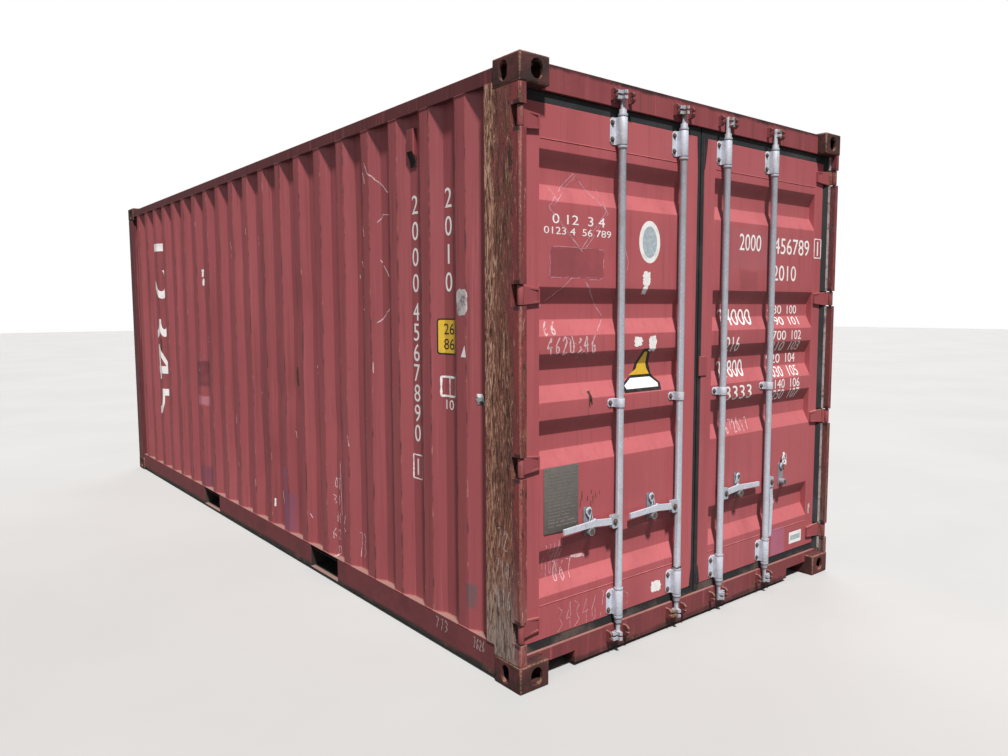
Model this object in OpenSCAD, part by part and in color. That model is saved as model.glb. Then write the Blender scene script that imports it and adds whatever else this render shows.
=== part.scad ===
// Twenty-foot steel shipping container with two hinged doors and four locking bars.
// X runs across the width, Y along the length with the doors at -Y, Z up from the ground.

/* [Overall] */
// Length over the corner castings
length = 6058; // [5000:1:7000]
// Width over the corner castings
width = 2438; // [2300:1:2600]
// Height over the corner castings
height = 2591; // [2440:1:2700]

/* [Corner castings] */
// Length of a casting along the container
casting_l = 178; // [170:1:190]
// Width of a casting across the container
casting_w = 162; // [155:1:170]
// Height of a casting
casting_h = 118; // [112:1:125]
// Wall of a casting that carries the twist-lock slot
casting_slot_t = 28.5; // [20:0.5:32]
// Other walls of a casting
casting_t = 15; // [10:0.5:18]
// Rounding of a casting's edges
casting_r = 14; // [4:1:16]
// Length of the twist-lock slot
slot_l = 124; // [110:1:130]
// Width of the twist-lock slot
slot_w = 63.5; // [55:0.5:70]
// Height of the side and end holes
hole_h = 79.5; // [70:0.5:84]
// Width of the side hole
side_hole_w = 51; // [40:1:60]
// Width of the end hole
end_hole_w = 63.5; // [50:0.5:70]
// Distance of the slot's middle from the end face
slot_from_end = 102.5; // [95:0.5:105]
// Distance of the slot's middle from the side face
slot_from_side = 89.5; // [85:0.5:92]

/* [Posts] */
// Setback of the posts behind the castings' faces
post_in = 3; // [1:0.5:5]
// Thickness of the posts' pressed plate
post_t = 6; // [4:0.5:8]
// How far the door post's side face reaches from the end plane
door_post_side = 232; // [200:1:260]
// Width of the door post's end face, which covers the hinge pins
hook_w = 35; // [34:1:42]
// Distance of the clear door opening's edge from the side plane
reveal_u = 49; // [46:1:60]
// Depth at which the door post's inner channel starts
channel_v = 60; // [58:1:66]
// Depth of the door post's inner channel
channel_d = 98; // [80:1:120]
// Thickness of the door post's inner channel
channel_t = 10; // [6:1:12]
// How far the closed-end post's side face reaches from the end plane
closed_post_side = 143; // [120:1:170]
// How far the closed-end post's end face reaches from the side plane
closed_post_end = 150; // [120:1:155]

/* [Rails] */
// Setback of the rails behind the castings' side faces
rail_in = 8; // [5:0.5:12]
// Bottom of the base frame above the ground
base_z = 18; // [12:1:25]
// Top of the bottom side rail
rail_top_z = 160; // [150:1:175]
// Thickness of the bottom side rail
rail_t = 4.5; // [3:0.5:6]
// Top flange of the bottom side rail
rail_top_flange = 48; // [44:1:60]
// Bottom flange of the bottom side rail
rail_bottom_flange = 30; // [20:1:40]
// Side of the square top side rail
top_rail = 60; // [50:1:70]
// Wall of the square top side rail
top_rail_t = 3; // [2:0.5:5]
// Distance from the top of the castings down to the top of the top side rail
top_drop = 28; // [26:1:40]

/* [Walls and roof] */
// Thickness of the wall sheets
wall_t = 2; // [1.5:0.5:3]
// Setback of the walls' outer faces behind the castings' side faces
wall_in = 10; // [6:1:16]
// Depth of the side walls' corrugations
side_depth = 36; // [25:1:45]
// Pitch of the side walls' corrugations
side_pitch = 280; // [250:1:320]
// Outer face of one side corrugation
side_outer = 72; // [50:1:90]
// Run of one side corrugation's slope
side_slope = 68; // [40:1:80]
// Depth of the closed-end wall's corrugations
end_depth = 45.6; // [30:0.1:50]
// Pitch of the closed-end wall's corrugations
end_pitch = 250; // [220:1:280]
// Outer face of one end corrugation
end_outer = 110; // [80:1:120]
// Run of one end corrugation's slope
end_slope = 18; // [10:1:30]
// Height of the roof's corrugations
roof_depth = 20; // [10:1:20]
// Pitch of the roof's corrugations
roof_pitch = 209; // [180:1:240]
// Flat crown of one roof corrugation
roof_crown = 91; // [60:1:100]
// Run of one roof corrugation's slope
roof_slope = 13.5; // [8:0.5:20]
// Flat margin between the roof corrugations and the side planes
roof_margin = 110; // [90:1:150]
// Size of a roof corner plate across the container
corner_plate_w = 330; // [260:1:380]
// Size of a roof corner plate along the container
corner_plate_l = 420; // [300:1:430]
// Thickness of a roof corner plate
corner_plate_t = 4; // [3:0.5:5]

/* [Floor and base] */
// Thickness of the floor boards
floor_t = 28; // [20:1:32]
// Top of the floor above the ground
floor_z = 168; // [162:1:172]
// Thickness of the cross members
cross_t = 4; // [3:0.5:6]
// Top flange of a cross member
cross_flange = 45; // [35:1:60]
// Number of cross members in each of the two end bays
end_bay_members = 6; // [4:1:6]
// Number of cross members between the forklift pockets
middle_members = 5; // [3:1:5]
// Distance between the middles of the two forklift pockets
pocket_spacing = 2010; // [2000:1:2100]
// Shift of the forklift pockets' middle towards the doors
pocket_shift = 187; // [0:1:220]
// Clear width of a forklift pocket
pocket_w = 360; // [340:1:380]
// Clear height of a forklift pocket
pocket_h = 115; // [105:0.5:115]
// Width of the strap under each end of a forklift pocket
pocket_strap = 200; // [150:1:220]

/* [Door end] */
// Depth of the header's and sill's outer faces behind the end plane
header_v = 52; // [50:1:58]
// Depth of the header box
header_d = 108; // [80:1:112]
// Wall of the header box
header_t = 4; // [3:0.5:6]
// Distance from the castings' top down to the top of the header
header_drop = 8; // [6:1:20]
// Top of the sill in front of the doors
sill_z = 133; // [128:1:140]
// Depth of the sill box
sill_d = 98; // [90:1:110]
// Wall of the sill box
sill_t = 5; // [4:0.5:6]
// Width of the recess in the sill beside each casting
sill_cut_w = 200; // [150:1:220]
// Height of the recess in the sill above the ground
sill_cut_z = 75; // [60:1:85]

/* [Doors] */
// Depth of the doors' outer face behind the end plane
door_v = 63; // [62:1:70]
// Thickness of a door's frame
door_t = 50; // [40:1:52]
// Distance of a door's hinged edge from the side plane
door_u = 72; // [68:1:78]
// Half of the space between the two door frames
seam_half = 27; // [22:1:32]
// Bottom edge of the doors
door_z0 = 175; // [172:1:185]
// Distance from the castings' top down to the top edge of the doors
door_drop = 163; // [160:1:180]
// Width of a door's upright frame members
stile_w = 85; // [60:1:100]
// Height of a door's top frame member
door_top_h = 140; // [100:1:160]
// Height of a door's bottom frame member
door_bottom_h = 150; // [100:1:160]
// Wall of the door frame
door_wall = 3.2; // [2.5:0.1:5]
// Depth of the door sheets' corrugations
panel_depth = 36; // [20:1:40]
// Flat strip of a door sheet below its lowest corrugation
panel_low = 35; // [20:1:50]
// Flat strip of a door sheet above its highest corrugation
panel_high = 42; // [20:1:50]
// Flat bottom of one door corrugation
panel_inner = 66; // [40:1:80]
// Run of one door corrugation's slope
panel_slope = 70; // [40:1:75]

/* [Gaskets] */
// Gap that the gaskets keep from the frame
gasket_gap = 2; // [1.5:0.5:3]
// Half of the gap between the two doors' gaskets
gasket_seam = 4; // [3:0.5:6]
// Depth of the gasket behind the doors' outer face
gasket_back = 3; // [1:1:6]
// Depth of the gasket section
gasket_d = 34; // [20:1:40]
// Thickness of a gasket lip
gasket_lip = 6; // [4:1:8]

/* [Hinges] */
// Distance of the hinge pins from the side and end planes
pin_in = 22; // [20:1:24]
// Radius of a hinge pin
pin_r = 8; // [6:0.5:10]
// Radial clearance of a hinge pin
pin_gap = 0.1; // [0.05:0.01:0.1]
// Outer radius of a hinge knuckle
knuckle_r = 13; // [12:0.5:14]
// Height of a hinge knuckle
knuckle_h = 78; // [60:1:90]
// Clearance above and below a hinge knuckle
notch_gap = 5; // [5:0.5:8]
// Height of the lowest hinge
hinge_z0 = 253; // [245:1:270]
// Distance from the castings' top down to the highest hinge
hinge_drop = 244; // [240:1:260]
// Length of a hinge blade from its pin
blade_l = 128; // [110:1:140]
// Height of a hinge blade at its tip
blade_tip_h = 58; // [40:1:70]
// Thickness of a hinge blade
blade_t = 8; // [6:1:10]
// Height of the rim round a hinge blade
blade_rim = 5; // [3:1:6]

/* [Locking bars] */
// Distance of the inner bars from the middle of the doors' end
inner_bar_x = 174; // [165:1:180]
// Distance of the outer bars from the middle of the doors' end
outer_bar_x = 598; // [580:1:620]
// Depth of the bars' axes behind the end plane
bar_v = 35; // [34:0.5:36]
// Radius of a bar
bar_r = 17; // [14:0.5:17]
// Bottom end of the bars
bar_z0 = 62; // [50:1:70]
// Distance from the castings' top down to the top end of the bars
bar_drop = 46; // [40:1:60]
// Radial clearance of a bar in its guides
bar_gap = 0.1; // [0.05:0.01:0.1]
// Radius of the collars on a bar
collar_r = 21.5; // [20:0.5:23]
// Height of a collar
collar_h = 10; // [6:1:14]
// Gap between a collar and its guide
seat_gap = 0.3; // [0.2:0.1:0.5]
// Reach of a cam's fingers from the bar's axis
cam_l = 42; // [34:1:42]
// Width of a keeper's mouth
keeper_mouth = 100; // [98:1:108]
// Thickness of a keeper's cheek
keeper_t = 12; // [8:1:16]

/* [Bar guides] */
// Width of a guide plate
guide_w = 108; // [90:1:120]
// Height of an end guide
guide_h = 118; // [100:1:130]
// Height of a middle guide
mid_guide_h = 40; // [30:1:50]
// Thickness of a guide plate
guide_t = 4; // [3:0.5:6]
// Height of the middle guides
mid_guide_z = 1170; // [1160:1:1175]
// Height of the lower guides' middle
low_guide_z = 240; // [235:1:250]
// Distance from the castings' top down to the upper guides' middle
guide_drop = 220; // [215:1:230]

/* [Handles] */
// Height of the handles' pivots
handle_z = 628; // [620:1:640]
// Distance of a handle's pivot from its bar
pivot_x = 36; // [34:1:40]
// Length of a handle from its pivot
handle_l = 312; // [260:1:320]
// Height of a handle's bar
handle_h = 30; // [24:1:34]
// Thickness of a handle
handle_t = 10; // [8:1:12]
// Radius of a handle's pivot bolt
pivot_r = 6; // [5:0.5:8]
// Distance of a handle's catch from its bar
retainer_x = 179; // [170:1:190]
// Radius of the rest under a handle
rest_r = 18; // [14:1:20]
// Height of a catch's rivet above the rest
catch_rise = 90; // [80:1:100]

/* [Hidden] */
$fn = 48;

side_x = -width / 2;
end_y = -length / 2;
top_z = height - casting_h;
eps = 1;

// Heights of the rails and sheets
top_rail_z1 = height - top_drop;
top_rail_z0 = top_rail_z1 - top_rail;
header_z0 = top_z + 2;
header_z1 = height - header_drop;
floor_bottom = floor_z - floor_t;
cross_z0 = base_z + rail_t;
pocket_y = [-pocket_shift - pocket_spacing / 2, -pocket_shift + pocket_spacing / 2];

// Doors
door_z1 = height - door_drop;
leaf_w = width / 2 - door_u - seam_half;
pin_x = side_x + pin_in;
pin_y = end_y + pin_in;
hinge_count = 4;
hinge_pitch = (height - hinge_drop - hinge_z0) / (hinge_count - 1);
hinge_z = [for (i = [0:hinge_count - 1]) hinge_z0 + i * hinge_pitch];
notch_h = knuckle_h + 2 * notch_gap;
notch_side_v = 44;
lug_h = 14;

// Locking gear
bar_y = end_y + bar_v;
bar_z1 = height - bar_drop;
guide_z = [low_guide_z, height - guide_drop];
bars = [-outer_bar_x, -inner_bar_x, inner_bar_x, outer_bar_x];
cam_h = 46;
neck_r = 11;
neck_h = 36;
kink = [115, 185];
kink_rise = [12, 8];
tab_x = 120;
tab_r = 9;
rest_z = handle_z - handle_h / 2 + kink_rise[0] - rest_r - seat_gap;
catch_z = rest_z + catch_rise;
cheek_t = 5;
cheek_gap = 0.5;
catch_t = 5;
catch_v = bar_v + handle_t / 2 + 9;

// Repeats a left-hand piece on the right
module right() mirror([1, 0, 0]) children();
// Repeats a door-end piece at the closed end
module closed_end() mirror([0, 1, 0]) children();
// Places a piece in the corner frame: X inwards from the side plane, Y inwards from the end plane
module corner() translate([side_x, end_y, 0]) children();

// Rectangle with round corners, from simple shapes so that it stays exact
module round_rect(w, h, r) {
  translate([r, 0]) square([w - 2 * r, h]);
  translate([0, r]) square([w, h - 2 * r]);
  for (x = [r, w - r], y = [r, h - r]) translate([x, y]) circle(r);
}

// Slot with round ends, centred, longer side along Y
module stadium(w, l) {
  square([w, l - w], center = true);
  for (s = [-1, 1]) translate([0, s * (l - w) / 2]) circle(w / 2);
}

// Extrudes a (Y, Z) outline along X
module along_x(x0, x1) translate([x0, 0, 0]) rotate([90, 0, 90]) linear_extrude(x1 - x0) children();
// Extrudes an (X, Z) outline along Y
module along_y(y0, y1) translate([0, y1, 0]) rotate([90, 0, 0]) linear_extrude(y1 - y0) children();

module block(x0, x1, y0, y1, z0, z1) translate([x0, y0, z0]) cube([x1 - x0, y1 - y0, z1 - z0]);

// Bottom corner casting in the corner frame
module casting() {
  difference() {
    intersection() {
      linear_extrude(casting_h) round_rect(casting_w, casting_l, casting_r);
      along_x(0, casting_w) round_rect(casting_l, casting_h, casting_r);
      along_y(0, casting_l) round_rect(casting_w, casting_h, casting_r);
    }
    block(casting_t, casting_w - casting_t, casting_t, casting_l - casting_t,
      casting_slot_t, casting_h - casting_t);
    translate([slot_from_side, slot_from_end, -eps])
      linear_extrude(casting_slot_t + 2 * eps) stadium(slot_w, slot_l);
    along_x(-eps, casting_t + eps)
      translate([slot_from_end, casting_h / 2]) stadium(side_hole_w, hole_h);
    along_y(-eps, casting_t + eps)
      translate([slot_from_side, casting_h / 2]) stadium(end_hole_w, hole_h);
  }
}
module casting_pair() {
  corner() casting();
  right() corner() casting();
}
module upside_down() translate([0, 0, height]) mirror([0, 0, 1]) children();
module castings_door_end_bottom() color("sienna") casting_pair();
module castings_door_end_top() color("sienna") upside_down() casting_pair();
module castings_closed_end_bottom() color("sienna") closed_end() casting_pair();
module castings_closed_end_top() color("sienna") closed_end() upside_down() casting_pair();

// Door post: a pressed hook around the hinge pins, and a channel that forms the reveal
module door_post_outline() {
  difference() {
    translate([post_in, post_in]) union() {
      translate([2 * post_t, 0]) square([hook_w - 2 * post_t, channel_v - post_in]);
      translate([0, 2 * post_t]) square([hook_w, channel_v - post_in - 2 * post_t]);
      translate([2 * post_t, 2 * post_t]) circle(2 * post_t);
    }
    translate([post_in + post_t, post_in + post_t])
      square([hook_w - 2 * post_t, channel_v - post_in]);
  }
  difference() {
    translate([post_in, channel_v]) square([reveal_u - post_in, channel_d]);
    translate([post_in + post_t, channel_v + channel_t])
      square([reveal_u - channel_t - post_in - post_t, channel_d - 2 * channel_t]);
  }
}
module side_plate_outline(reach) {
  translate([post_in, channel_v]) square([post_t, reach - channel_v]);
  translate([post_in, reach - post_t])
    square([wall_in + side_depth + wall_t - post_in, post_t]);
}
module hinge_notch(z) {
  half = notch_h / 2;
  block(-eps, post_in + post_t + eps, -eps, notch_side_v, z - half, z + half);
  block(post_in, reveal_u + eps, -eps, channel_v - eps, z - half, z + half);
}
module hinge_lugs(z) {
  for (s = [-1, 1]) translate([0, 0, z + s * (notch_h + lug_h) / 2])
    block(post_in + post_t, post_in + hook_w - post_t, post_in + post_t, notch_side_v,
      -lug_h / 2, lug_h / 2);
  translate([pin_in, pin_in, z - notch_h / 2 - eps]) cylinder(r = pin_r, h = notch_h + 2 * eps);
}
module door_post() {
  difference() {
    translate([0, 0, casting_h]) linear_extrude(top_z - casting_h) door_post_outline();
    for (z = hinge_z) hinge_notch(z);
  }
  translate([post_in, channel_v, casting_h])
    cube([post_t, casting_l - channel_v, rail_top_z - casting_h]);
  difference() {
    translate([0, 0, rail_top_z]) linear_extrude(top_rail_z0 - rail_top_z)
      side_plate_outline(door_post_side);
    block(0, casting_w, 0, casting_l, top_z, height);
  }
  for (z = hinge_z) hinge_lugs(z);
}
module door_post_left() color("saddlebrown") corner() door_post();
module door_post_right() color("saddlebrown") right() corner() door_post();

// Closed-end post: one pressed angle with a lip on each edge
end_wall_in = post_in + wall_t;
module closed_post() {
  lip = wall_in + side_depth + wall_t;
  translate([0, 0, casting_h]) linear_extrude(top_z - casting_h) {
    translate([post_in, post_in + post_t]) square([post_t, closed_post_side - post_in - post_t]);
    translate([post_in, post_in]) square([closed_post_end - post_in, post_t]);
    translate([post_in, closed_post_side - post_t]) square([lip - post_in, post_t]);
    translate([closed_post_end - post_t, post_in]) square([post_t, end_wall_in + end_depth]);
  }
}
module closed_post_left() color("brown") closed_end() corner() closed_post();
module closed_post_right() color("brown") right() closed_end() corner() closed_post();

// Square top rail between the castings
module top_rail_bar() {
  color("indianred") along_y(end_y + casting_l, -end_y - casting_l)
    translate([side_x + rail_in, top_rail_z0]) difference() {
      square(top_rail);
      translate([top_rail_t, top_rail_t]) square(top_rail - 2 * top_rail_t);
    }
}
module top_rail_left() top_rail_bar();
module top_rail_right() right() top_rail_bar();

// Bottom rail: a channel open inwards, cut through for the forklift pockets
module bottom_rail() {
  color("maroon") difference() {
    along_y(end_y + casting_l, -end_y - casting_l) translate([side_x + rail_in, base_z]) {
      square([rail_t, rail_top_z - base_z]);
      square([rail_bottom_flange, rail_t]);
      translate([0, rail_top_z - base_z - rail_t]) square([rail_top_flange, rail_t]);
    }
    for (y = pocket_y) block(side_x, side_x + rail_in + rail_t + eps,
      y - pocket_w / 2, y + pocket_w / 2, cross_z0, rail_top_z - rail_t);
  }
}
module bottom_rail_left() bottom_rail();
module bottom_rail_right() right() bottom_rail();

// Open band of one sheet: a folded line given a thickness along Y
function folded(points, t) = concat(points,
  [for (i = [len(points) - 1:-1:0]) points[i] + [0, t]]);

// Folded line of count ridges, each with its two slopes, from start to end
function ridges(start, end, count, pitch, ridge, slope, depth) =
  let (lead = (end - start - (count - 1) * pitch - ridge - 2 * slope) / 2)
  concat([[start, depth]],
    [for (i = [0:count - 1]) let (a = start + lead + i * pitch)
      each [[a, depth], [a + slope, 0], [a + slope + ridge, 0], [a + 2 * slope + ridge, depth]]],
    [[end, depth]]);

// Side wall in one vertical extrusion
side_y0 = end_y + door_post_side;
side_y1 = -end_y - closed_post_side;
side_count = floor((side_y1 - side_y0 - side_outer - 2 * side_slope) / side_pitch) + 1;
module side_wall() {
  color("indianred") difference() {
    translate([side_x + wall_in, 0, rail_top_z]) linear_extrude(top_rail_z0 - rail_top_z)
      mirror([1, -1]) polygon(folded(ridges(side_y0, side_y1, side_count, side_pitch,
        side_outer, side_slope, side_depth), wall_t));
    block(side_x, side_x + casting_w, -end_y - casting_l, -end_y, top_z, height);
  }
}
module side_wall_left() side_wall();
module side_wall_right() right() side_wall();

// Closed-end wall between its posts
end_x0 = side_x + closed_post_end;
end_count = floor((-2 * end_x0 - end_outer - 2 * end_slope) / end_pitch) + 1;
module closed_end_wall() {
  color("indianred") closed_end() translate([0, end_y + end_wall_in, casting_h])
    linear_extrude(top_z - casting_h) polygon(folded(ridges(end_x0, -end_x0, end_count,
      end_pitch, end_outer, end_slope, end_depth), wall_t));
}
module closed_end_top_rail() {
  color("indianred") closed_end() along_x(side_x + casting_w, -side_x - casting_w)
    translate([end_y + post_in, top_z]) difference() {
      square([top_rail, top_rail_z1 - top_z]);
      translate([top_rail_t, top_rail_t])
        square([top_rail - 2 * top_rail_t, top_rail_z1 - top_z - 2 * top_rail_t]);
    }
}
module closed_end_bottom_rail() {
  color("maroon") closed_end() along_x(side_x + casting_w, -side_x - casting_w)
    translate([end_y + post_in, base_z]) {
      square([sill_t, casting_h - base_z]);
      square([top_rail, sill_t]);
      translate([0, casting_h - base_z - sill_t]) square([top_rail, sill_t]);
    }
}

// Roof sheet with stamped transverse crowns that slope down before the rails
roof_x = side_x + rail_in + 12;
roof_y0 = end_y + header_v + header_d;
roof_y1 = -end_y - post_in - 12;
crown_y0 = end_y + corner_plate_l + 10;
crown_y1 = -end_y - corner_plate_l - 10;
crown_count = floor((crown_y1 - crown_y0 - roof_crown - 2 * roof_slope) / roof_pitch) + 1;
crown_x = side_x + roof_margin;
module crown_solid(drop) {
  lead = (crown_y1 - crown_y0 - (crown_count - 1) * roof_pitch - roof_crown - 2 * roof_slope) / 2;
  base = -roof_depth;
  intersection() {
    along_x(crown_x, -crown_x) polygon(concat([[roof_y0, base], [roof_y0, 0]],
      [for (i = [0:crown_count - 1]) let (a = crown_y0 + lead + i * roof_pitch)
        each [[a, 0], [a + roof_slope, roof_depth], [a + roof_slope + roof_crown, roof_depth],
          [a + 2 * roof_slope + roof_crown, 0]]],
      [[roof_y1, 0], [roof_y1, base]]));
    along_y(roof_y0 - eps, roof_y1 + eps) polygon([[crown_x, base], [crown_x, 0],
      [crown_x + 2 * roof_slope, roof_depth], [-crown_x - 2 * roof_slope, roof_depth],
      [-crown_x, 0], [-crown_x, base]]);
  }
}
module corner_cut() {
  for (m = [0, 1], n = [0, 1]) mirror([m, 0, 0]) mirror([0, n, 0])
    block(side_x, side_x + corner_plate_w, end_y, end_y + corner_plate_l, -height, height);
}
module roof() {
  color("brown") translate([0, 0, top_rail_z1]) difference() {
    union() {
      block(roof_x, -roof_x, roof_y0, roof_y1, 0, wall_t);
      translate([0, 0, wall_t]) crown_solid();
    }
    crown_solid();
    translate([0, 0, -height]) block(roof_x - eps, -roof_x + eps, roof_y0, roof_y1, 0, height);
    corner_cut();
  }
}
module corner_plate(y0) {
  difference() {
    block(roof_x, side_x + corner_plate_w, y0, end_y + corner_plate_l, top_rail_z1,
      top_rail_z1 + corner_plate_t);
    block(side_x, side_x + casting_w, end_y, end_y + casting_l, 0, height);
  }
}
module roof_corner_plates() {
  color("brown") for (m = [0, 1]) mirror([m, 0, 0]) {
    corner_plate(roof_y0);
    closed_end() corner_plate(-roof_y1);
  }
}

// Floor between the rails
floor_x = side_x + rail_in + rail_top_flange + 1;
floor_y0 = end_y + header_v + sill_d;
floor_y1 = -end_y - end_wall_in - end_depth - wall_t - 4;
module floor_boards() {
  color("burlywood") block(floor_x, -floor_x, floor_y0, floor_y1, floor_bottom, floor_z);
}

// Cross member: a channel between the bottom rails, with its web at y
cross_x = side_x + rail_in + rail_t;
module cross_member(y, way = 1) {
  translate([0, y, 0]) mirror([0, way > 0 ? 0 : 1, 0]) along_x(cross_x, -cross_x) {
    translate([0, cross_z0]) square([cross_t, floor_bottom - cross_z0]);
    translate([0, cross_z0]) square([cross_flange - 5, cross_t]);
    translate([0, floor_bottom - cross_t]) square([cross_flange, cross_t]);
  }
}
// Webs evenly spaced from a towards b, without b
function spread(a, b, n) = [for (i = [0:n - 1]) a + (b - a) * i / n];
first_y = end_y + casting_l + 10;
last_y = -first_y - cross_flange;
bay_y = [pocket_y[0] + pocket_w / 2, pocket_y[1] - pocket_w / 2];
middle_pitch = (bay_y[1] - bay_y[0]) / (middle_members + 1);
member_y = concat(
  spread(first_y, pocket_y[0] - pocket_w / 2, end_bay_members),
  spread(bay_y[0] + middle_pitch, bay_y[1], middle_members),
  spread(last_y, pocket_y[1] + pocket_w / 2, end_bay_members));
module cross_members() {
  color("dimgray") for (y = member_y) cross_member(y);
}
module forklift_pocket(y) {
  half = pocket_w / 2;
  top = cross_z0 + pocket_h;
  cross_member(y + half);
  cross_member(y - half, -1);
  block(cross_x, -cross_x, y - half, y + half, top, floor_bottom);
  for (m = [0, 1]) mirror([m, 0, 0])
    block(side_x + rail_in + rail_bottom_flange + eps,
      side_x + rail_in + rail_bottom_flange + pocket_strap,
      y - half - cross_flange, y + half + cross_flange, base_z, cross_z0);
}
module forklift_pockets() color("dimgray") for (y = pocket_y) forklift_pocket(y);

// Ventilator: a sheet hood in a wall recess, open to the wall and at its cut-away lower end
vent_w = 52;
vent_h = 180;
vent_d = 26;
vent_drop = 326;
vent_lid = 8;
vent_t = 3;
vent_mouth = 70;
vent_root = 6;
vent_skirt = 24;
vent_z = height - vent_drop;
vent_y = side_y0 + (side_y1 - side_y0 - (side_count - 1) * side_pitch) / 2 + 1.5 * side_pitch;
module hood(t) {
  inner = side_x + wall_in + side_depth;
  polygon([[inner + (t > 0 ? eps : 0), vent_z], [inner - vent_root, vent_z],
    [inner - vent_root, vent_z + vent_skirt], [inner - vent_d + t, vent_z + vent_mouth],
    [inner - vent_d + t, vent_z + vent_h - vent_lid - t],
    [inner + (t > 0 ? eps : 0), vent_z + vent_h - t]]);
}
module ventilator() {
  inner = side_x + wall_in + side_depth;
  mouth = [[inner + eps, vent_z - eps], [inner - vent_d - eps, vent_z - eps],
    [inner - vent_d - eps, vent_z + vent_mouth], [inner - vent_d + vent_t, vent_z + vent_mouth],
    [inner - vent_root, vent_z + vent_skirt], [inner + eps, vent_z + vent_skirt]];
  difference() {
    along_y(vent_y - vent_w / 2, vent_y + vent_w / 2) hood(0);
    along_y(vent_y - vent_w / 2 + vent_t, vent_y + vent_w / 2 - vent_t) {
      hood(vent_t);
      polygon(mouth);
    }
  }
}
module ventilators() color("saddlebrown") for (m = [0, 1]) mirror([m, 0, 0]) ventilator();

// Door header with the upper keepers of the bars
keeper_reach = 36;
keeper_half = 26;
keeper_slot = 16;
keeper_slot_h = 8;
keeper_chamfer = 14;
module keeper(x, z) {
  front = header_v - keeper_reach;
  root = front + keeper_chamfer;
  half = keeper_slot_h / 2;
  translate([x, end_y, z]) for (s = [-1, 1]) {
    inner = s * keeper_mouth / 2;
    along_x(min(inner, inner + s * keeper_t), max(inner, inner + s * keeper_t))
      polygon([[header_v, -keeper_half], [root, -keeper_half], [front, -keeper_chamfer],
        [front, -half - 2], [front + keeper_slot, -half], [front + keeper_slot, half],
        [front, half + 2], [front, keeper_chamfer], [root, keeper_half],
        [header_v, keeper_half]]);
  }
}
module door_header() {
  color("indianred") {
    along_x(side_x + casting_w, -side_x - casting_w)
      translate([end_y + header_v, header_z0]) difference() {
        square([header_d, header_z1 - header_z0]);
        translate([header_t, header_t])
          square([header_d - 2 * header_t, header_z1 - header_z0 - 2 * header_t]);
      }
    for (x = bars) keeper(x, bar_z1 - keeper_half + 2);
  }
}

// Door sill with the lower keepers, a step up to the floor and a recess beside each casting
step_v = door_v + door_t + 3;
module sill_outline(t) {
  y0 = end_y + header_v + t;
  y1 = end_y + header_v + sill_d - t;
  polygon([[y0, base_z + t], [y0, sill_z - t], [end_y + step_v + t, sill_z - t],
    [end_y + step_v + t, floor_z - t], [y1, floor_z - t], [y1, base_z + t]]);
}
module sill_recess() {
  x0 = side_x + casting_w;
  block(x0 - eps, x0 + sill_cut_w, end_y, end_y + header_v + sill_d - sill_t,
    base_z - eps, sill_cut_z);
}
module sill_hood() {
  x0 = side_x + casting_w;
  y0 = end_y + header_v;
  block(x0, x0 + sill_cut_w + sill_t, y0, y0 + sill_d - sill_t, sill_cut_z, sill_cut_z + 9);
  block(x0 + sill_cut_w, x0 + sill_cut_w + sill_t, y0, y0 + sill_d - sill_t,
    base_z, sill_cut_z + 9);
}
module door_sill() {
  color("indianred") {
    difference() {
      along_x(side_x + reveal_u, -side_x - reveal_u) difference() {
        sill_outline(0);
        sill_outline(sill_t);
      }
      for (m = [0, 1]) mirror([m, 0, 0]) {
        block(side_x, side_x + casting_w, end_y, end_y + casting_l, 0, casting_h);
        sill_recess();
      }
    }
    for (m = [0, 1]) mirror([m, 0, 0]) sill_hood();
    for (x = bars) keeper(x, bar_z0 + keeper_half);
  }
}

// Door frame: two tube stiles and two channels that open towards the sheet
door_x0 = side_x + door_u;
door_y0 = end_y + door_v;
door_y1 = door_y0 + door_t;
module stile(x) {
  difference() {
    block(x, x + stile_w, door_y0, door_y1, door_z0, door_z1);
    block(x + door_wall, x + stile_w - door_wall, door_y0 + door_wall, door_y1 - door_wall,
      door_z0 - eps, door_z1 + eps);
  }
}
module door_frame() {
  x0 = door_x0 + stile_w;
  x1 = -seam_half - stile_w;
  color("indianred") {
    stile(door_x0);
    stile(x1);
    difference() {
      block(x0, x1, door_y0, door_y1, door_z1 - door_top_h, door_z1);
      block(x0, x1, door_y0 + door_wall, door_y1 - door_wall,
        door_z1 - door_top_h - eps, door_z1 - door_wall);
    }
    difference() {
      block(x0, x1, door_y0, door_y1, door_z0, door_z0 + door_bottom_h);
      block(x0, x1, door_y0 + door_wall, door_y1 - door_wall,
        door_z0 + door_wall, door_z0 + door_bottom_h + eps);
    }
  }
}
module door_frame_left() door_frame();
module door_frame_right() right() door_frame();

// Door sheet with five horizontal corrugations, closer in the middle
module door_sheet() {
  z0 = door_z0 + door_bottom_h;
  z1 = door_z1 - door_top_h;
  half = panel_inner / 2;
  low = z0 + panel_low + panel_slope + half;
  high = z1 - panel_high - panel_slope - half;
  line = concat([[z0, 0]],
    [for (k = [-3, -1, 0, 1, 3]) let (c = (low + high) / 2 + k * (high - low) / 6)
      each [[c - half - panel_slope, 0], [c - half, panel_depth],
        [c + half, panel_depth], [c + half + panel_slope, 0]]],
    [[z1, 0]]);
  color("indianred") along_x(door_x0 + stile_w, -seam_half - stile_w)
    translate([door_y0, 0]) mirror([1, -1]) polygon(folded(line, wall_t));
}
module door_sheet_left() door_sheet();
module door_sheet_right() right() door_sheet();

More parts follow.
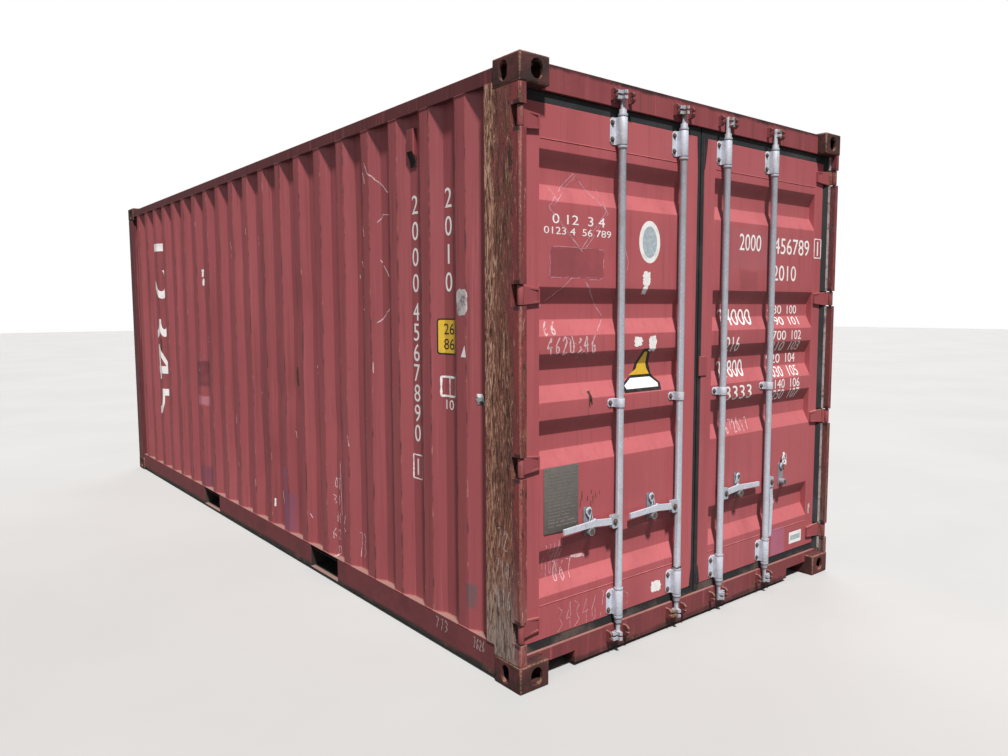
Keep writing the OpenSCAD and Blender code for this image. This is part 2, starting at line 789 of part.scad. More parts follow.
// Rubber gasket round a door: a body with a wider lip at its front and back
module gasket_ring(y0, d, inset) {
  x0 = side_x + reveal_u + gasket_gap;
  x1 = -gasket_seam;
  z0 = sill_z + gasket_gap;
  z1 = top_z - gasket_gap;
  difference() {
    block(x0 + inset, x1 - inset, y0, y0 + d, z0 + inset, z1 - inset);
    block(door_x0, -seam_half, y0 - eps, y0 + d + eps, door_z0, door_z1);
  }
}
// Lip that laps the post's inner corner, with a gap at each hinge
module gasket_flap() {
  u = post_in + hook_w + gasket_gap;
  v = channel_v - gasket_gap;
  back = door_v + gasket_back + gasket_lip;
  difference() {
    translate([side_x, end_y, sill_z + gasket_gap])
      linear_extrude(top_z - sill_z - 2 * gasket_gap)
      polygon([[u, v], [u, v - 8], [u + 4, v - 8], [reveal_u + 6, v - 2], [door_u, back - gasket_lip],
        [door_u, back], [reveal_u + gasket_gap, back], [reveal_u + gasket_gap, v]]);
    for (z = hinge_z) block(side_x, door_x0, end_y, end_y + door_v,
      z - notch_h / 2, z + notch_h / 2);
  }
}
module door_gasket() {
  y0 = door_y0 + gasket_back;
  color("darkslategray") {
    gasket_flap();
    gasket_ring(y0, gasket_lip, 0);
    gasket_ring(y0 + gasket_lip, gasket_d - 2 * gasket_lip, 7);
    gasket_ring(y0 + gasket_d - gasket_lip, gasket_lip, 0);
  }
}
module door_gasket_left() door_gasket();
module door_gasket_right() right() door_gasket();

// Hinge blade: a knuckle, a cranked neck and a tapered channel on the door, drawn from the pin
face_d = door_v - pin_in;
module blade_plan(open) {
  edge = door_u - pin_in + 2;
  front = face_d - blade_t;
  rise = 9;
  polygon(concat([[-2, knuckle_r - 2], [10, 4], [19, front - rise], [blade_l, front],
    [blade_l, face_d]],
    open ? [[edge, face_d]] : [],
    [[edge, front - rise / 2 + blade_t], [20, front - rise + blade_t],
    [8, front - rise + blade_t]]));
}
module blade_edge(inset) {
  front = face_d - blade_t;
  polygon([[door_u - pin_in - 4 - inset, front - blade_rim - inset / 2],
    [blade_l - inset, front - blade_rim - inset / 2], [blade_l - inset, front + 2],
    [door_u - pin_in - 4 - inset, front + 2]]);
}
module blade_taper(inset) {
  half = knuckle_h / 2 - inset;
  tip = blade_tip_h / 2 - inset;
  polygon([[-knuckle_r, -half], [20, -half], [blade_l + eps, -tip],
    [blade_l + eps, tip], [20, half], [-knuckle_r, half]]);
}
module hinge_blade() {
  difference() {
    union() {
      intersection() {
        translate([0, 0, -knuckle_h / 2]) linear_extrude(knuckle_h) blade_plan(true);
        along_y(-knuckle_r, door_v) blade_taper(0);
      }
      translate([0, 0, -knuckle_h / 2]) cylinder(r = knuckle_r, h = knuckle_h);
      difference() {
        intersection() {
          translate([0, 0, -knuckle_h / 2]) linear_extrude(knuckle_h) blade_edge(0);
          along_y(-knuckle_r, door_v) blade_taper(0);
        }
        intersection() {
          translate([0, 0, -knuckle_h / 2]) linear_extrude(knuckle_h) blade_edge(blade_t);
          along_y(-knuckle_r, door_v) blade_taper(blade_t);
        }
      }
    }
    difference() {
      intersection() {
        translate([0, 0, -knuckle_h / 2]) linear_extrude(knuckle_h)
          polygon([[door_u - pin_in + 2 - eps, face_d + eps],
            [door_u - pin_in + 2 - eps, face_d - 1.5], [blade_l - blade_t, face_d - 1.5],
            [blade_l - blade_t, face_d + eps]]);
        along_y(-knuckle_r, door_v) blade_taper(blade_t);
      }
      translate([0, 0, -knuckle_h / 2]) linear_extrude(knuckle_h) blade_plan(false);
    }
    translate([0, 0, -knuckle_h]) cylinder(r = pin_r + pin_gap, h = 2 * knuckle_h);
  }
}
module hinge_blades() {
  color("indianred") for (z = hinge_z) translate([pin_x, pin_y, z]) hinge_blade();
}
module hinge_blades_left() hinge_blades();
module hinge_blades_right() right() hinge_blades();

// Guide of a bar: a chamfered plate on the door and a housing round the bar
module guide(x, z, h) {
  cut = min(14, h / 4);
  housing = bar_r + bar_gap + 4;
  translate([x, bar_y, z]) difference() {
    union() {
      along_y(door_v - bar_v - guide_t, door_v - bar_v) polygon([
        [-guide_w / 2 + cut, -h / 2], [guide_w / 2 - cut, -h / 2],
        [guide_w / 2, -h / 2 + cut], [guide_w / 2, h / 2 - cut],
        [guide_w / 2 - cut, h / 2], [-guide_w / 2 + cut, h / 2],
        [-guide_w / 2, h / 2 - cut], [-guide_w / 2, -h / 2 + cut]]);
      translate([0, 0, -h / 2]) cylinder(r = housing, h = h);
      block(-housing, housing, 0, door_v - bar_v, -h / 2, h / 2);
    }
    translate([0, 0, -h]) cylinder(r = bar_r + bar_gap, h = 2 * h);
  }
}
module bar_guides(x_list) {
  color("silver") for (x = x_list) {
    for (z = guide_z) guide(x, z, guide_h);
    guide(x, mid_guide_z, mid_guide_h);
  }
}
module bar_guides_left() bar_guides([bars[0], bars[1]]);
module bar_guides_right() bar_guides([bars[2], bars[3]]);

// Locking bar with collars, forged cams at its ends and the fork of its handle
module cam() {
  for (z = [4, 28]) translate([0, 0, z]) linear_extrude(14) {
    polygon([[-cam_l, -9], [-cam_l + 8, -12], [0, -13], [0, neck_r - 1], [-cam_l, 5]]);
    rotate(70) polygon([[-cam_l + 10, -8], [0, 1 - neck_r], [0, 13], [-cam_l + 10, 6]]);
  }
  cylinder(r = neck_r, h = cam_h + neck_h + eps);
}
module fork() {
  for (s = [-1, 1]) along_y(s > 0 ? handle_t / 2 + cheek_gap : -handle_t / 2 - cheek_gap - cheek_t,
    s > 0 ? handle_t / 2 + cheek_gap + cheek_t : -handle_t / 2 - cheek_gap)
    translate([-pivot_x - 18, -30]) {
      translate([8, 0]) square([pivot_x + 10, 60]);
      translate([0, 8]) square([20, 44]);
      for (z = [8, 52]) translate([8, z]) circle(8);
    }
  translate([-pivot_x, 0, 0]) rotate([90, 0, 0])
    cylinder(r = pivot_r, h = handle_t + 2 * cheek_t + 6, center = true);
}
module bar(x, side) {
  reach = [guide_z[0] - guide_h / 2, guide_z[0] + guide_h / 2,
    guide_z[1] - guide_h / 2, guide_z[1] + guide_h / 2];
  color("gainsboro") translate([x, bar_y, 0]) mirror([side > 0 ? 1 : 0, 0, 0]) {
    translate([0, 0, bar_z0 + cam_h + neck_h])
      cylinder(r = bar_r, h = bar_z1 - bar_z0 - 2 * (cam_h + neck_h));
    translate([0, 0, bar_z0]) cam();
    translate([0, 0, bar_z1]) mirror([0, 0, 1]) cam();
    for (z = [reach[1] + seat_gap, reach[3] + 4]) translate([0, 0, z])
      cylinder(r = collar_r, h = collar_h);
    for (z = [reach[0] - 4 - collar_h, reach[2] - 4 - collar_h]) translate([0, 0, z])
      cylinder(r = collar_r, h = collar_h);
    translate([0, 0, handle_z]) fork();
  }
}
module bar_1() bar(bars[0], -1);
module bar_2() bar(bars[1], -1);
module bar_3() bar(bars[2], 1);
module bar_4() bar(bars[3], 1);

// Handle from its pivot along -X: a flat bar with a slight kink and a slimmer grip
module handle_shape() {
  along_y(-handle_t / 2, handle_t / 2) difference() {
    union() {
      circle(handle_h / 2);
      polygon([[0, -handle_h / 2], [0, handle_h / 2], [-kink[0], handle_h / 2 + kink_rise[0]],
        [-kink[1], handle_h / 2 + kink_rise[1]], [-handle_l, handle_h / 2 + 2],
        [-handle_l, -handle_h / 2 + kink_rise[1]], [-kink[1], -handle_h / 2 + kink_rise[0]],
        [-kink[0], -handle_h / 2 + kink_rise[0]]]);
      translate([-tab_x, handle_h / 2 + tab_r]) circle(tab_r);
    }
    circle(pivot_r + pin_gap);
  }
}
module handle(x, side, drop) {
  color("gainsboro") translate([x, bar_y, handle_z]) mirror([side > 0 ? 1 : 0, 0, 0])
    translate([-pivot_x, 0, 0]) rotate([0, -drop, 0]) handle_shape();
}
module handle_1() handle(bars[0], -1, 0);
module handle_2() handle(bars[1], -1, 0);
module handle_3() handle(bars[2], 1, 0);
module handle_4() handle(bars[3], 1, 90);

// Rest of a handle: a plate on the door with a round seat and the rivet of the catch
module handle_rest(x) {
  translate([x, end_y, 0]) {
    along_y(door_v - 4, door_v) translate([-24, rest_z - 22])
      round_rect(48, catch_rise + 40, 12);
    translate([0, door_v, rest_z]) rotate([90, 0, 0])
      cylinder(r = rest_r, h = door_v - bar_v + handle_t / 2 + 1);
    translate([0, door_v, catch_z]) rotate([90, 0, 0])
      cylinder(r = pivot_r, h = door_v - catch_v + 1);
    translate([0, catch_v - seat_gap, catch_z]) rotate([90, 0, 0]) cylinder(r = 11, h = 4 - seat_gap);
  }
}
rests = [bars[0] - retainer_x, bars[1] - retainer_x, bars[2] + retainer_x, bars[3] + retainer_x];
module handle_rests_left() color("silver") {
  handle_rest(rests[0]);
  handle_rest(rests[1]);
}
module handle_rests_right() color("silver") {
  handle_rest(rests[2]);
  handle_rest(rests[3]);
}

// Catch: a plate that swings on its rivet behind the handle
module catch(x, side, turn) {
  color("silver") translate([x, end_y, catch_z]) mirror([side > 0 ? 1 : 0, 0, 0])
    rotate([0, turn, 0]) along_y(catch_v, catch_v + catch_t) difference() {
      polygon([[-7, 17], [7, 17], [17, 7], [17, -7], [24, -34], [18, -52], [2, -52], [4, -34],
        [-17, -7], [-17, 7]]);
      circle(pivot_r + pin_gap);
      translate([13, -42]) circle(6);
    }
}
catch_down = 160;
module catch_1() catch(rests[0], -1, 0);
module catch_2() catch(rests[1], -1, 0);
module catch_3() catch(rests[2], 1, 0);
module catch_4() catch(rests[3], 1, catch_down);

// Seal plate on the right-hand door beside the seam
seal_z = 1304;
seal_h = 98;
seal_lap = 40;
seal_t = 6;
module seal_plate() {
  color("indianred") block(gasket_seam, seam_half + seal_lap, door_y0 - seal_t, door_y0,
    seal_z - seal_h / 2, seal_z + seal_h / 2);
}

castings_door_end_top();
castings_door_end_bottom();
castings_closed_end_top();
castings_closed_end_bottom();
door_post_left();
door_post_right();
closed_post_left();
closed_post_right();
top_rail_left();
top_rail_right();
bottom_rail_left();
bottom_rail_right();
door_header();
door_sill();
closed_end_top_rail();
closed_end_bottom_rail();
side_wall_left();
side_wall_right();
closed_end_wall();
roof();
roof_corner_plates();
floor_boards();
cross_members();
forklift_pockets();
ventilators();
door_frame_left();
door_sheet_left();
door_gasket_left();
hinge_blades_left();
bar_guides_left();
handle_rests_left();
door_frame_right();
door_sheet_right();
door_gasket_right();
hinge_blades_right();
bar_guides_right();
handle_rests_right();
seal_plate();
bar_1();
bar_2();
bar_3();
bar_4();
handle_1();
handle_2();
handle_3();
handle_4();
catch_1();
catch_2();
catch_3();
catch_4();
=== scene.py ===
import math
import random
from bisect import bisect_right

import bmesh
import bpy
from bpy.props import FloatProperty, FloatVectorProperty, IntProperty, PointerProperty
from mathutils import Matrix, Vector, noise


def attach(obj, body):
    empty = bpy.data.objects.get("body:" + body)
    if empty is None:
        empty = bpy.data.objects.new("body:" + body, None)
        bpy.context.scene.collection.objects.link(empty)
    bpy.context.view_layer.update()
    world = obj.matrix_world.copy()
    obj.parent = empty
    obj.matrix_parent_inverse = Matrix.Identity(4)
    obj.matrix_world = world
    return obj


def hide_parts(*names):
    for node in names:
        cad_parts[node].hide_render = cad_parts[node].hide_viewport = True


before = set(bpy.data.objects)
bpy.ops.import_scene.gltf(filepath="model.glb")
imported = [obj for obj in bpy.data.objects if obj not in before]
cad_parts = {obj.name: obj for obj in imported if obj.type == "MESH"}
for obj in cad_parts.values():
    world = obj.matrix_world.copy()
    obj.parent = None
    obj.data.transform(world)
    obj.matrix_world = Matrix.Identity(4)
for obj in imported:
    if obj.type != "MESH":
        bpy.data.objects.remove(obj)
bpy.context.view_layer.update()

bl_info = {
    "name": "Shipping container looks",
    "version": (1, 0, 0),
    "blender": (4, 5, 0),
    "location": "3D View > Sidebar > Container",
    "description": "Dresses the packed container with sheets, fasteners, labels and weathered materials",
    "category": "Object",
}

# Places and sheet profiles, the same numbers as in the construction source
END, HALF = -3.029, 1.219
WALL_Y0, WALL_Y1, WALL_Z0, WALL_Z1 = -2.797, 2.886, 0.160, 2.503
WALL_N, WALL_PITCH, WALL_OUT, WALL_SLOPE = 20, 0.280, 0.072, 0.068
WALL_LEAD = (WALL_Y1 - WALL_Y0 - (WALL_N - 1) * WALL_PITCH - WALL_OUT - 2 * WALL_SLOPE) / 2
WALL_FACE = HALF - 0.010
FOLD_DEPTH, SHEET = 0.036, 0.002
DOOR_X0, DOOR_X1, DOOR_Z0, DOOR_Z1 = 0.112, 1.062, 0.325, 2.288
DOOR_MID, DOOR_PITCH, DOOR_IN, DOOR_SLOPE = 1.303, 0.280, 0.066, 0.070
DOOR_FACE = END + 0.063
DOOR_LOW, DOOR_TOP = 0.175, 2.428
BARS, BAR_Y = (-0.598, -0.174, 0.174, 0.598), END + 0.035
HINGES = (0.253, 0.951, 1.649, 2.347)
BAR_MID, GUIDE_Z, BEARING_Z, FORK_Z = 1.305, (0.240, 2.371), 1.170, 0.628
REST_X, REST_Z = 0.179, (0.592, 0.708)
VENT_Y = WALL_Y0 + (WALL_Y1 - WALL_Y0 - (WALL_N - 1) * WALL_PITCH) / 2 + 1.5 * WALL_PITCH
PLANK = 1.22

# Stretch of the side walls without dents, and its soft ends
CALM_Y0, CALM_Y1, CALM_END = -2.80, -2.12, 0.15
# Thickness of labels and lines, and how high they lie on the sheets: usually, and on another label
FILM, LIFT, UPPER, TOP = 0.0003, 0.0006, 0.0010, 0.0014

# Reference view
EYE, YAW, PITCH, ROLL = (-3.1798, -5.3661, 1.5951), 38.797, -5.122, -0.212


# Settings
class ContainerPaint(bpy.types.PropertyGroup):
    """Colours of the container's finishes"""
    paint: FloatVectorProperty(
        name="Paint", description="Colour of the faded body paint",
        subtype="COLOR", size=3, min=0.0, max=1.0, default=(0.290, 0.064, 0.072))
    chalk: FloatVectorProperty(
        name="Chalked paint", description="Colour of the paint where the sun has chalked it",
        subtype="COLOR", size=3, min=0.0, max=1.0, default=(0.385, 0.104, 0.114))
    rust: FloatVectorProperty(
        name="Rust", description="Main colour of the rust",
        subtype="COLOR", size=3, min=0.0, max=1.0, default=(0.085, 0.034, 0.022))
    dust: FloatVectorProperty(
        name="Dust", description="Colour of the dust that lies on ledges",
        subtype="COLOR", size=3, min=0.0, max=1.0, default=(0.40, 0.24, 0.20))
    zinc: FloatVectorProperty(
        name="Zinc", description="Colour of the galvanised locking gear",
        subtype="COLOR", size=3, min=0.0, max=1.0, default=(0.47, 0.50, 0.565))


class ContainerShape(bpy.types.PropertyGroup):
    """Sizes of the visual details"""
    fold: FloatProperty(
        name="Fold radius", description="Bend radius of the corrugated sheets",
        unit="LENGTH", min=0.002, max=0.02, default=0.010)
    edge: FloatProperty(
        name="Edge radius", description="Rounding of the plates' edges",
        unit="LENGTH", min=0.0002, max=0.004, default=0.0016)
    dent: FloatProperty(
        name="Dent depth", description="Depth of the deepest dents in the side walls",
        unit="LENGTH", min=0.0, max=0.02, default=0.009)
    seed: IntProperty(
        name="Seed", description="Number that sets where the dents fall",
        min=0, max=999, default=7)


class ContainerStage(bpy.types.PropertyGroup):
    """Camera and light"""
    lens: FloatProperty(
        name="Lens", description="Focal length that matches the reference view",
        unit="CAMERA", min=15.0, max=80.0, default=27.504)
    key: FloatProperty(
        name="Key light", description="Strength of the soft key light from the front",
        min=0.0, max=20.0, default=5.6)
    side: FloatProperty(
        name="Side light", description="Strength of the broad light on the side wall",
        min=0.0, max=20.0, default=0.35)
    rear: FloatProperty(
        name="Rear light", description="Strength of the broad light on the far sides",
        min=0.0, max=20.0, default=1.3)
    fill: FloatProperty(
        name="Fill light", description="Brightness of the even light from all round",
        min=0.0, max=3.0, default=0.17)


def settings():
    s = bpy.context.scene
    return s.container_paint, s.container_shape, s.container_stage


# Shader nodes
def feed(node, inputs):
    """Puts numbers, colours or the outputs of other nodes at a node's inputs"""
    for key, value in inputs.items():
        sock = node.inputs[key]
        if isinstance(value, Value):
            value = value.socket
        if isinstance(value, bpy.types.NodeSocket):
            node.id_data.links.new(value, sock)
        elif sock.type == "RGBA" and len(value) == 3:
            sock.default_value = (*value, 1.0)
        else:
            sock.default_value = value


def add_node(tree, kind, inputs=None, **props):
    node = tree.nodes.new(kind)
    for key, value in props.items():
        setattr(node, key, value)
    feed(node, inputs or {})
    return node


class Value:
    """Output of a shader node, which takes part in sums"""

    def __init__(self, tree, socket):
        self.tree, self.socket = tree, socket

    def __add__(self, other):
        return self.tree.math("ADD", self, other)

    def __sub__(self, other):
        return self.tree.math("SUBTRACT", self, other)

    def __rsub__(self, other):
        return self.tree.math("SUBTRACT", other, self)

    def __mul__(self, other):
        return self.tree.math("MULTIPLY", self, other)

    def __truediv__(self, other):
        return self.tree.math("DIVIDE", self, other)

    def __abs__(self):
        return self.tree.math("ABSOLUTE", self)

    def span(self, low, high, a=0.0, b=1.0):
        """a where the value is low, easing to b where it is high"""
        return self.tree.value("ShaderNodeMapRange", {
            "Value": self, "From Min": low, "From Max": high, "To Min": a, "To Max": b},
            interpolation_type="SMOOTHSTEP")


class Tree:
    """Material under construction: short names for its nodes, and the colour as laid on so far"""

    def __init__(self, name):
        self.mat = bpy.data.materials.get(name) or bpy.data.materials.new(name)
        self.mat.use_nodes = True
        self.nodes = self.mat.node_tree
        self.nodes.nodes.clear()
        self.bsdf = add_node(self.nodes, "ShaderNodeBsdfPrincipled")
        add_node(self.nodes, "ShaderNodeOutputMaterial", {0: self.bsdf.outputs[0]})
        self.co = self.value("ShaderNodeTexCoord", output="Object")
        self.color = None

    def value(self, kind, inputs=None, output=0, **props):
        return Value(self, add_node(self.nodes, kind, inputs, **props).outputs[output])

    def noise(self, scale, detail=4.0, rough=0.55, fit=None, warp=0.0):
        """Noise; fit holds the scale along each axis and a shift"""
        place = self.co
        if fit:
            x, y, z, *shift = fit
            move = shift[0] if shift else 0.0
            place = self.value("ShaderNodeMapping", {"Vector": self.co, "Scale": (x, y, z),
                                                     "Location": (move, move * 1.7, move * 0.6)})
        return self.value("ShaderNodeTexNoise", {"Vector": place, "Scale": scale, "Detail": detail,
                                                 "Roughness": rough, "Distortion": warp})

    def spots(self, scale):
        return self.value("ShaderNodeTexVoronoi", {"Vector": self.co, "Scale": scale}, "Distance")

    def math(self, op, a, b=0.0):
        return self.value("ShaderNodeMath", {0: a, 1: b}, operation=op)

    def mix(self, share, a, b):
        return self.value("ShaderNodeMix", {"Factor": share, 6: a, 7: b}, 2, data_type="RGBA")

    def cover(self, share, tint):
        """Lays a tint over a share of the colour"""
        self.color = self.mix(share, self.color, tint)

    def over(self, tint, value, low, high, a, b):
        """Lays a tint over the colour by a value's span"""
        self.cover(value.span(low, high, a, b), tint)

    def axis(self, name):
        return self.value("ShaderNodeSeparateXYZ", {0: self.co}, name)

    def facing(self, name):
        normal = self.value("ShaderNodeNewGeometry", output="Normal")
        return self.value("ShaderNodeSeparateXYZ", {0: normal}, name)

    def worn_edge(self):
        """1 on the rounded edges of a boxy piece, where the normal leaves the axes"""
        flat = self.math("MAXIMUM", abs(self.facing("X")), abs(self.facing("Y")))
        flat = self.math("MAXIMUM", flat, abs(self.facing("Z")))
        return flat.span(0.90, 0.985, 1.0, 0.0)

    def window(self, axis, low, high, soft, ragged=0.0):
        """1 between two places along an axis"""
        place = self.axis(axis)
        if ragged:
            place = place + self.noise(14.0, 6.0, 0.7).span(0.3, 0.7, -ragged, ragged)
        return place.span(low - soft, low + soft) * place.span(high - soft, high + soft, 1.0, 0.0)

    def finish(self, rough, bump=None, strength=0.2, depth=0.002, metal=0.0):
        feed(self.bsdf, {"Base Color": self.color, "Roughness": rough, "Metallic": metal})
        if bump is not None:
            relief = {"Strength": strength, "Distance": depth, "Height": bump}
            feed(self.bsdf, {"Normal": self.value("ShaderNodeBump", relief)})
        return self.mat


def scaled(color, f):
    return tuple(min(1.0, c * f) for c in color)


# Finishes
def paint_finish(name, cfg, tone=1.0, rust=0.35, streak=0.35, chalk=0.5, low_rust=0.0, dust=0.5, worn=0.0,
                 ridges=0.0, patches=()):
    """Faded body paint with chalking, rain streaks, scuffs, rust, dust and patches of other tones; upward
    faces are chalked and also lighter as a painted highlight, downward faces are darker as painted shade
    """
    t = Tree(name)
    big = t.noise(0.7, 4.0, 0.55, warp=0.3)
    mid = t.noise(5.0, 9.0, 0.62)
    fine = t.noise(75.0, 6.0, 0.6)
    rain = t.noise(2.2, 7.0, 0.62, fit=(9.0, 9.0, 0.3))
    wide = t.noise(1.0, 5.0, 0.6, fit=(3.0, 3.0, 0.45, 7.0))
    up = t.facing("Z")
    faded = big.span(0.34, 0.7, 0.0, 0.55 * chalk)
    t.color = t.mix(faded, scaled(cfg.paint, tone), scaled(cfg.chalk, tone))
    # Upward faces: chalked paint, lighter also as a painted highlight
    t.over(scaled(cfg.chalk, 1.04 * tone), up, 0.1, 0.55, 0.0, 0.75 * chalk)
    # Downward faces: painted shade, a darker copy of the paint
    t.over(scaled(cfg.paint, 0.62 * tone), up, -0.5, -0.1, 0.45, 0.0)
    t.over(scaled(cfg.paint, 0.7 * tone), wide, 0.48, 0.72, 0.0, 0.45)
    t.over(scaled(cfg.paint, 0.45 * tone), rain, 0.52, 0.76, 0.0, streak)
    t.over(scaled(cfg.chalk, 1.08), rain, 0.24, 0.42, 0.6 * streak, 0.0)
    t.over(scaled(cfg.paint, 0.55 * tone), fine, 0.58, 0.8, 0.0, 0.3)
    runs = t.noise(2.0, 9.0, 0.72, fit=(30.0, 30.0, 0.55, 3.0))
    t.over((0.1, 0.034, 0.031), runs, 0.56, 0.66, 0.0, 1.1 * streak)
    t.over(scaled(cfg.chalk, 1.1), runs, 0.36, 0.42, 0.9 * streak, 0.0)
    speck = t.noise(34.0, 5.0, 0.6, fit=(1.0, 1.0, 0.45, 9.0))
    t.over((0.11, 0.045, 0.028), speck, 0.715, 0.745, 0.0, min(1.0, 2.0 * streak))
    if ridges:
        place = t.math("FRACT", (t.axis("Y") - (WALL_Y0 + WALL_LEAD)) / WALL_PITCH) * WALL_PITCH
        near = t.math("MINIMUM", abs(place - WALL_SLOPE), abs(place - (WALL_SLOPE + WALL_OUT)))
        crest = near.span(0.0015, 0.0075, ridges, 0.0)
        flecks = t.noise(22.0, 9.0, 0.78, fit=(1.0, 1.0, 0.3, 13.0))
        t.cover(crest * flecks.span(0.5, 0.57), (0.085, 0.03, 0.03))
        t.cover(crest * flecks.span(0.37, 0.43, 1.0, 0.0), (0.46, 0.22, 0.2))
    # Patches of other tones: marks and smudges, and painted shade at the header's top edge, the sill's foot
    # and inside the ventilators
    for axis, a, b, z0, z1, tint, amount in patches:
        area = t.window(axis, a, b, 0.008, 0.006) * t.window("Z", z0, z1, 0.008, 0.006)
        t.cover(area * mid.span(0.3, 0.62, 0.45, 1.0) * amount, tint)
    scuff = t.noise(7.0, 10.0, 0.75, fit=(1.0, 1.0, 2.6, 11.0), warp=1.2)
    t.over(scaled(cfg.chalk, 1.35), scuff, 0.665, 0.7, 0.0, 0.45)
    spot = t.noise(9.0, 11.0, 0.74, warp=0.5)
    drop = t.noise(2.2, 8.0, 0.7, fit=(14.0, 14.0, 1.0, 5.0))
    grow = spot + (drop - 0.5) * 0.5
    if low_rust:
        grow = grow + t.axis("Z").span(0.0, 0.9, low_rust, 0.0)
    if worn:
        grow = grow + t.worn_edge() * worn
    edge = 0.8 - 0.16 * rust
    rusty = grow.span(edge, edge + 0.035)
    t.over(scaled(cfg.rust, 1.5), grow, edge - 0.07, edge + 0.01, 0.0, 0.55)
    t.cover(rusty, t.mix(fine.span(0.4, 0.6), cfg.rust, scaled(cfg.rust, 2.4)))
    flat = up.span(0.55, 0.95) * mid.span(0.3, 0.6, 0.35, 1.0)
    t.cover(flat * dust, cfg.dust)
    rough = mid.span(0.3, 0.7, 0.44, 0.58) + rusty * 0.3
    bump = fine * 0.25 + rusty * 0.6
    return t.finish(rough, bump, 0.22, 0.0012)


def rusty_post_finish(name, cfg):
    """Post whose paint has mostly gone: brown rust with pale fibrous streaks and islands of paint; painted
    shade darkens its inner channel and the notches behind the hinges
    """
    t = Tree(name)
    run = t.noise(1.6, 10.0, 0.7, fit=(16.0, 16.0, 1.6))
    thin = t.noise(2.0, 11.0, 0.76, fit=(46.0, 46.0, 6.5, 4.0), warp=1.2)
    wide = t.noise(1.3, 9.0, 0.72, fit=(6.0, 6.0, 0.9, 8.0), warp=0.9)
    fine = t.noise(130.0, 8.0, 0.7)
    rear = t.window("Y", -2.862, -2.79, 0.006, 0.01)
    front = t.axis("Y").span(-3.012, -2.955, 0.17, 0.0)
    t.color = t.mix(run.span(0.36, 0.62), (0.06, 0.02, 0.016), (0.185, 0.064, 0.044))
    t.over((0.23, 0.088, 0.056), fine, 0.5, 0.66, 0.0, 0.6)
    pale = thin + rear * 0.05
    t.over((0.3, 0.13, 0.078), pale, 0.515, 0.545, 0.0, 0.75)
    t.cover(pale.span(0.565, 0.61) * t.axis("Z").span(0.4, 1.5, 0.42, 0.88), (0.62, 0.4, 0.275))
    t.over((0.016, 0.007, 0.006), thin, 0.415, 0.45, 0.95, 0.0)
    left = (wide + front + (thin - 0.5) * 0.6).span(0.595, 0.62)
    t.cover(left, t.mix(run.span(0.4, 0.65), (0.225, 0.04, 0.042), scaled(cfg.paint, 0.46)))
    t.over((0.56, 0.34, 0.25), thin, 0.6, 0.625, 0.0, 0.85)
    t.over((0.045, 0.014, 0.013), thin, 0.35, 0.39, 0.75, 0.0)
    foot = t.axis("Z").span(0.16, 0.62, 1.0, 0.0) * thin.span(0.4, 0.56)
    foot = foot * t.axis("Y").span(-3.012, -2.99, 0.35, 1.0)
    t.cover(foot * 0.75, (0.33, 0.285, 0.25))
    t.cover(t.worn_edge() * fine.span(0.4, 0.62) * 0.5, (0.34, 0.155, 0.095))
    # Painted shade on the post's inner channel, behind its front edge
    t.cover(abs(t.axis("X")).span(1.178, 1.184, 1.0, 0.0) * 0.75, (0.06, 0.042, 0.04))
    # Painted shade in the post's notches behind the hinge knuckles
    for z in HINGES:
        notch_shade = t.window("Z", z - 0.06, z + 0.06, 0.003) * t.window("Y", -3.022, -2.986, 0.003)
        t.cover(notch_shade * 0.8, (0.022, 0.01, 0.01))
    bump = thin * 0.9 + (fine * 0.4 + left)
    return t.finish(left.span(0.0, 1.0, 0.9, 0.6), bump, 0.55, 0.002)


def casting_finish(name, cfg):
    """Corner castings: dark rust with worn pale rims and leftovers of paint"""
    t = Tree(name)
    big = t.noise(6.0, 8.0, 0.7, warp=0.5)
    fine = t.noise(120.0, 5.0, 0.6)
    pit = t.spots(150.0)
    t.color = t.mix(big.span(0.36, 0.6), (0.026, 0.01, 0.009), (0.074, 0.021, 0.018))
    t.over(scaled(cfg.paint, 0.36), big, 0.52, 0.62, 0.0, 0.8)
    worn = t.worn_edge() * (fine + big).span(0.86, 1.1, 0.08, 0.7)
    t.cover(worn, t.mix(fine.span(0.4, 0.6), (0.19, 0.078, 0.045), (0.33, 0.19, 0.12)))
    t.over((0.17, 0.066, 0.042), fine, 0.58, 0.74, 0.0, 0.4)
    bump = fine * 0.5 + pit.span(0.15, 0.45)
    return t.finish(0.8, bump, 0.45, 0.0015)


def coat_finish(name, cfg):
    """Black bitumen undercoat with road dust"""
    t = Tree(name)
    big = t.noise(3.0, 8.0, 0.7)
    fine = t.noise(70.0, 6.0, 0.6)
    t.color = t.mix(big.span(0.45, 0.7, 0.0, 0.75), (0.022, 0.018, 0.017), (0.12, 0.085, 0.065))
    t.over(scaled(cfg.rust, 1.1), fine, 0.6, 0.75, 0.0, 0.5)
    return t.finish(0.72, big + fine, 0.4, 0.002)


def rail_finish(name, cfg):
    """Bottom rail: body paint above, undercoat below, rust where they meet"""
    t = Tree(name)
    wave = t.noise(1.1, 6.0, 0.7, warp=0.3)
    mid = t.noise(7.0, 9.0, 0.7)
    fine = t.noise(80.0, 6.0, 0.6)
    height = t.axis("Z") + (wave - 0.5) * 0.05
    t.color = t.mix(mid.span(0.42, 0.68, 0.0, 0.6), scaled(cfg.paint, 0.62), scaled(cfg.paint, 0.38))
    black = t.mix(mid.span(0.45, 0.7, 0.0, 0.7), (0.026, 0.02, 0.019), (0.105, 0.062, 0.048))
    t.color = t.mix(height.span(0.03, 0.05), black, t.color)
    rusty = (mid + height.span(0.03, 0.12, 0.12, 0.0)).span(0.7, 0.76)
    t.cover(rusty, t.mix(fine.span(0.4, 0.6), cfg.rust, scaled(cfg.rust, 2.0)))
    t.over(scaled(cfg.dust, 0.85), t.facing("Z"), 0.5, 0.9, 0.0, 0.7)
    return t.finish(0.68, fine * 0.4 + rusty, 0.3, 0.0015)


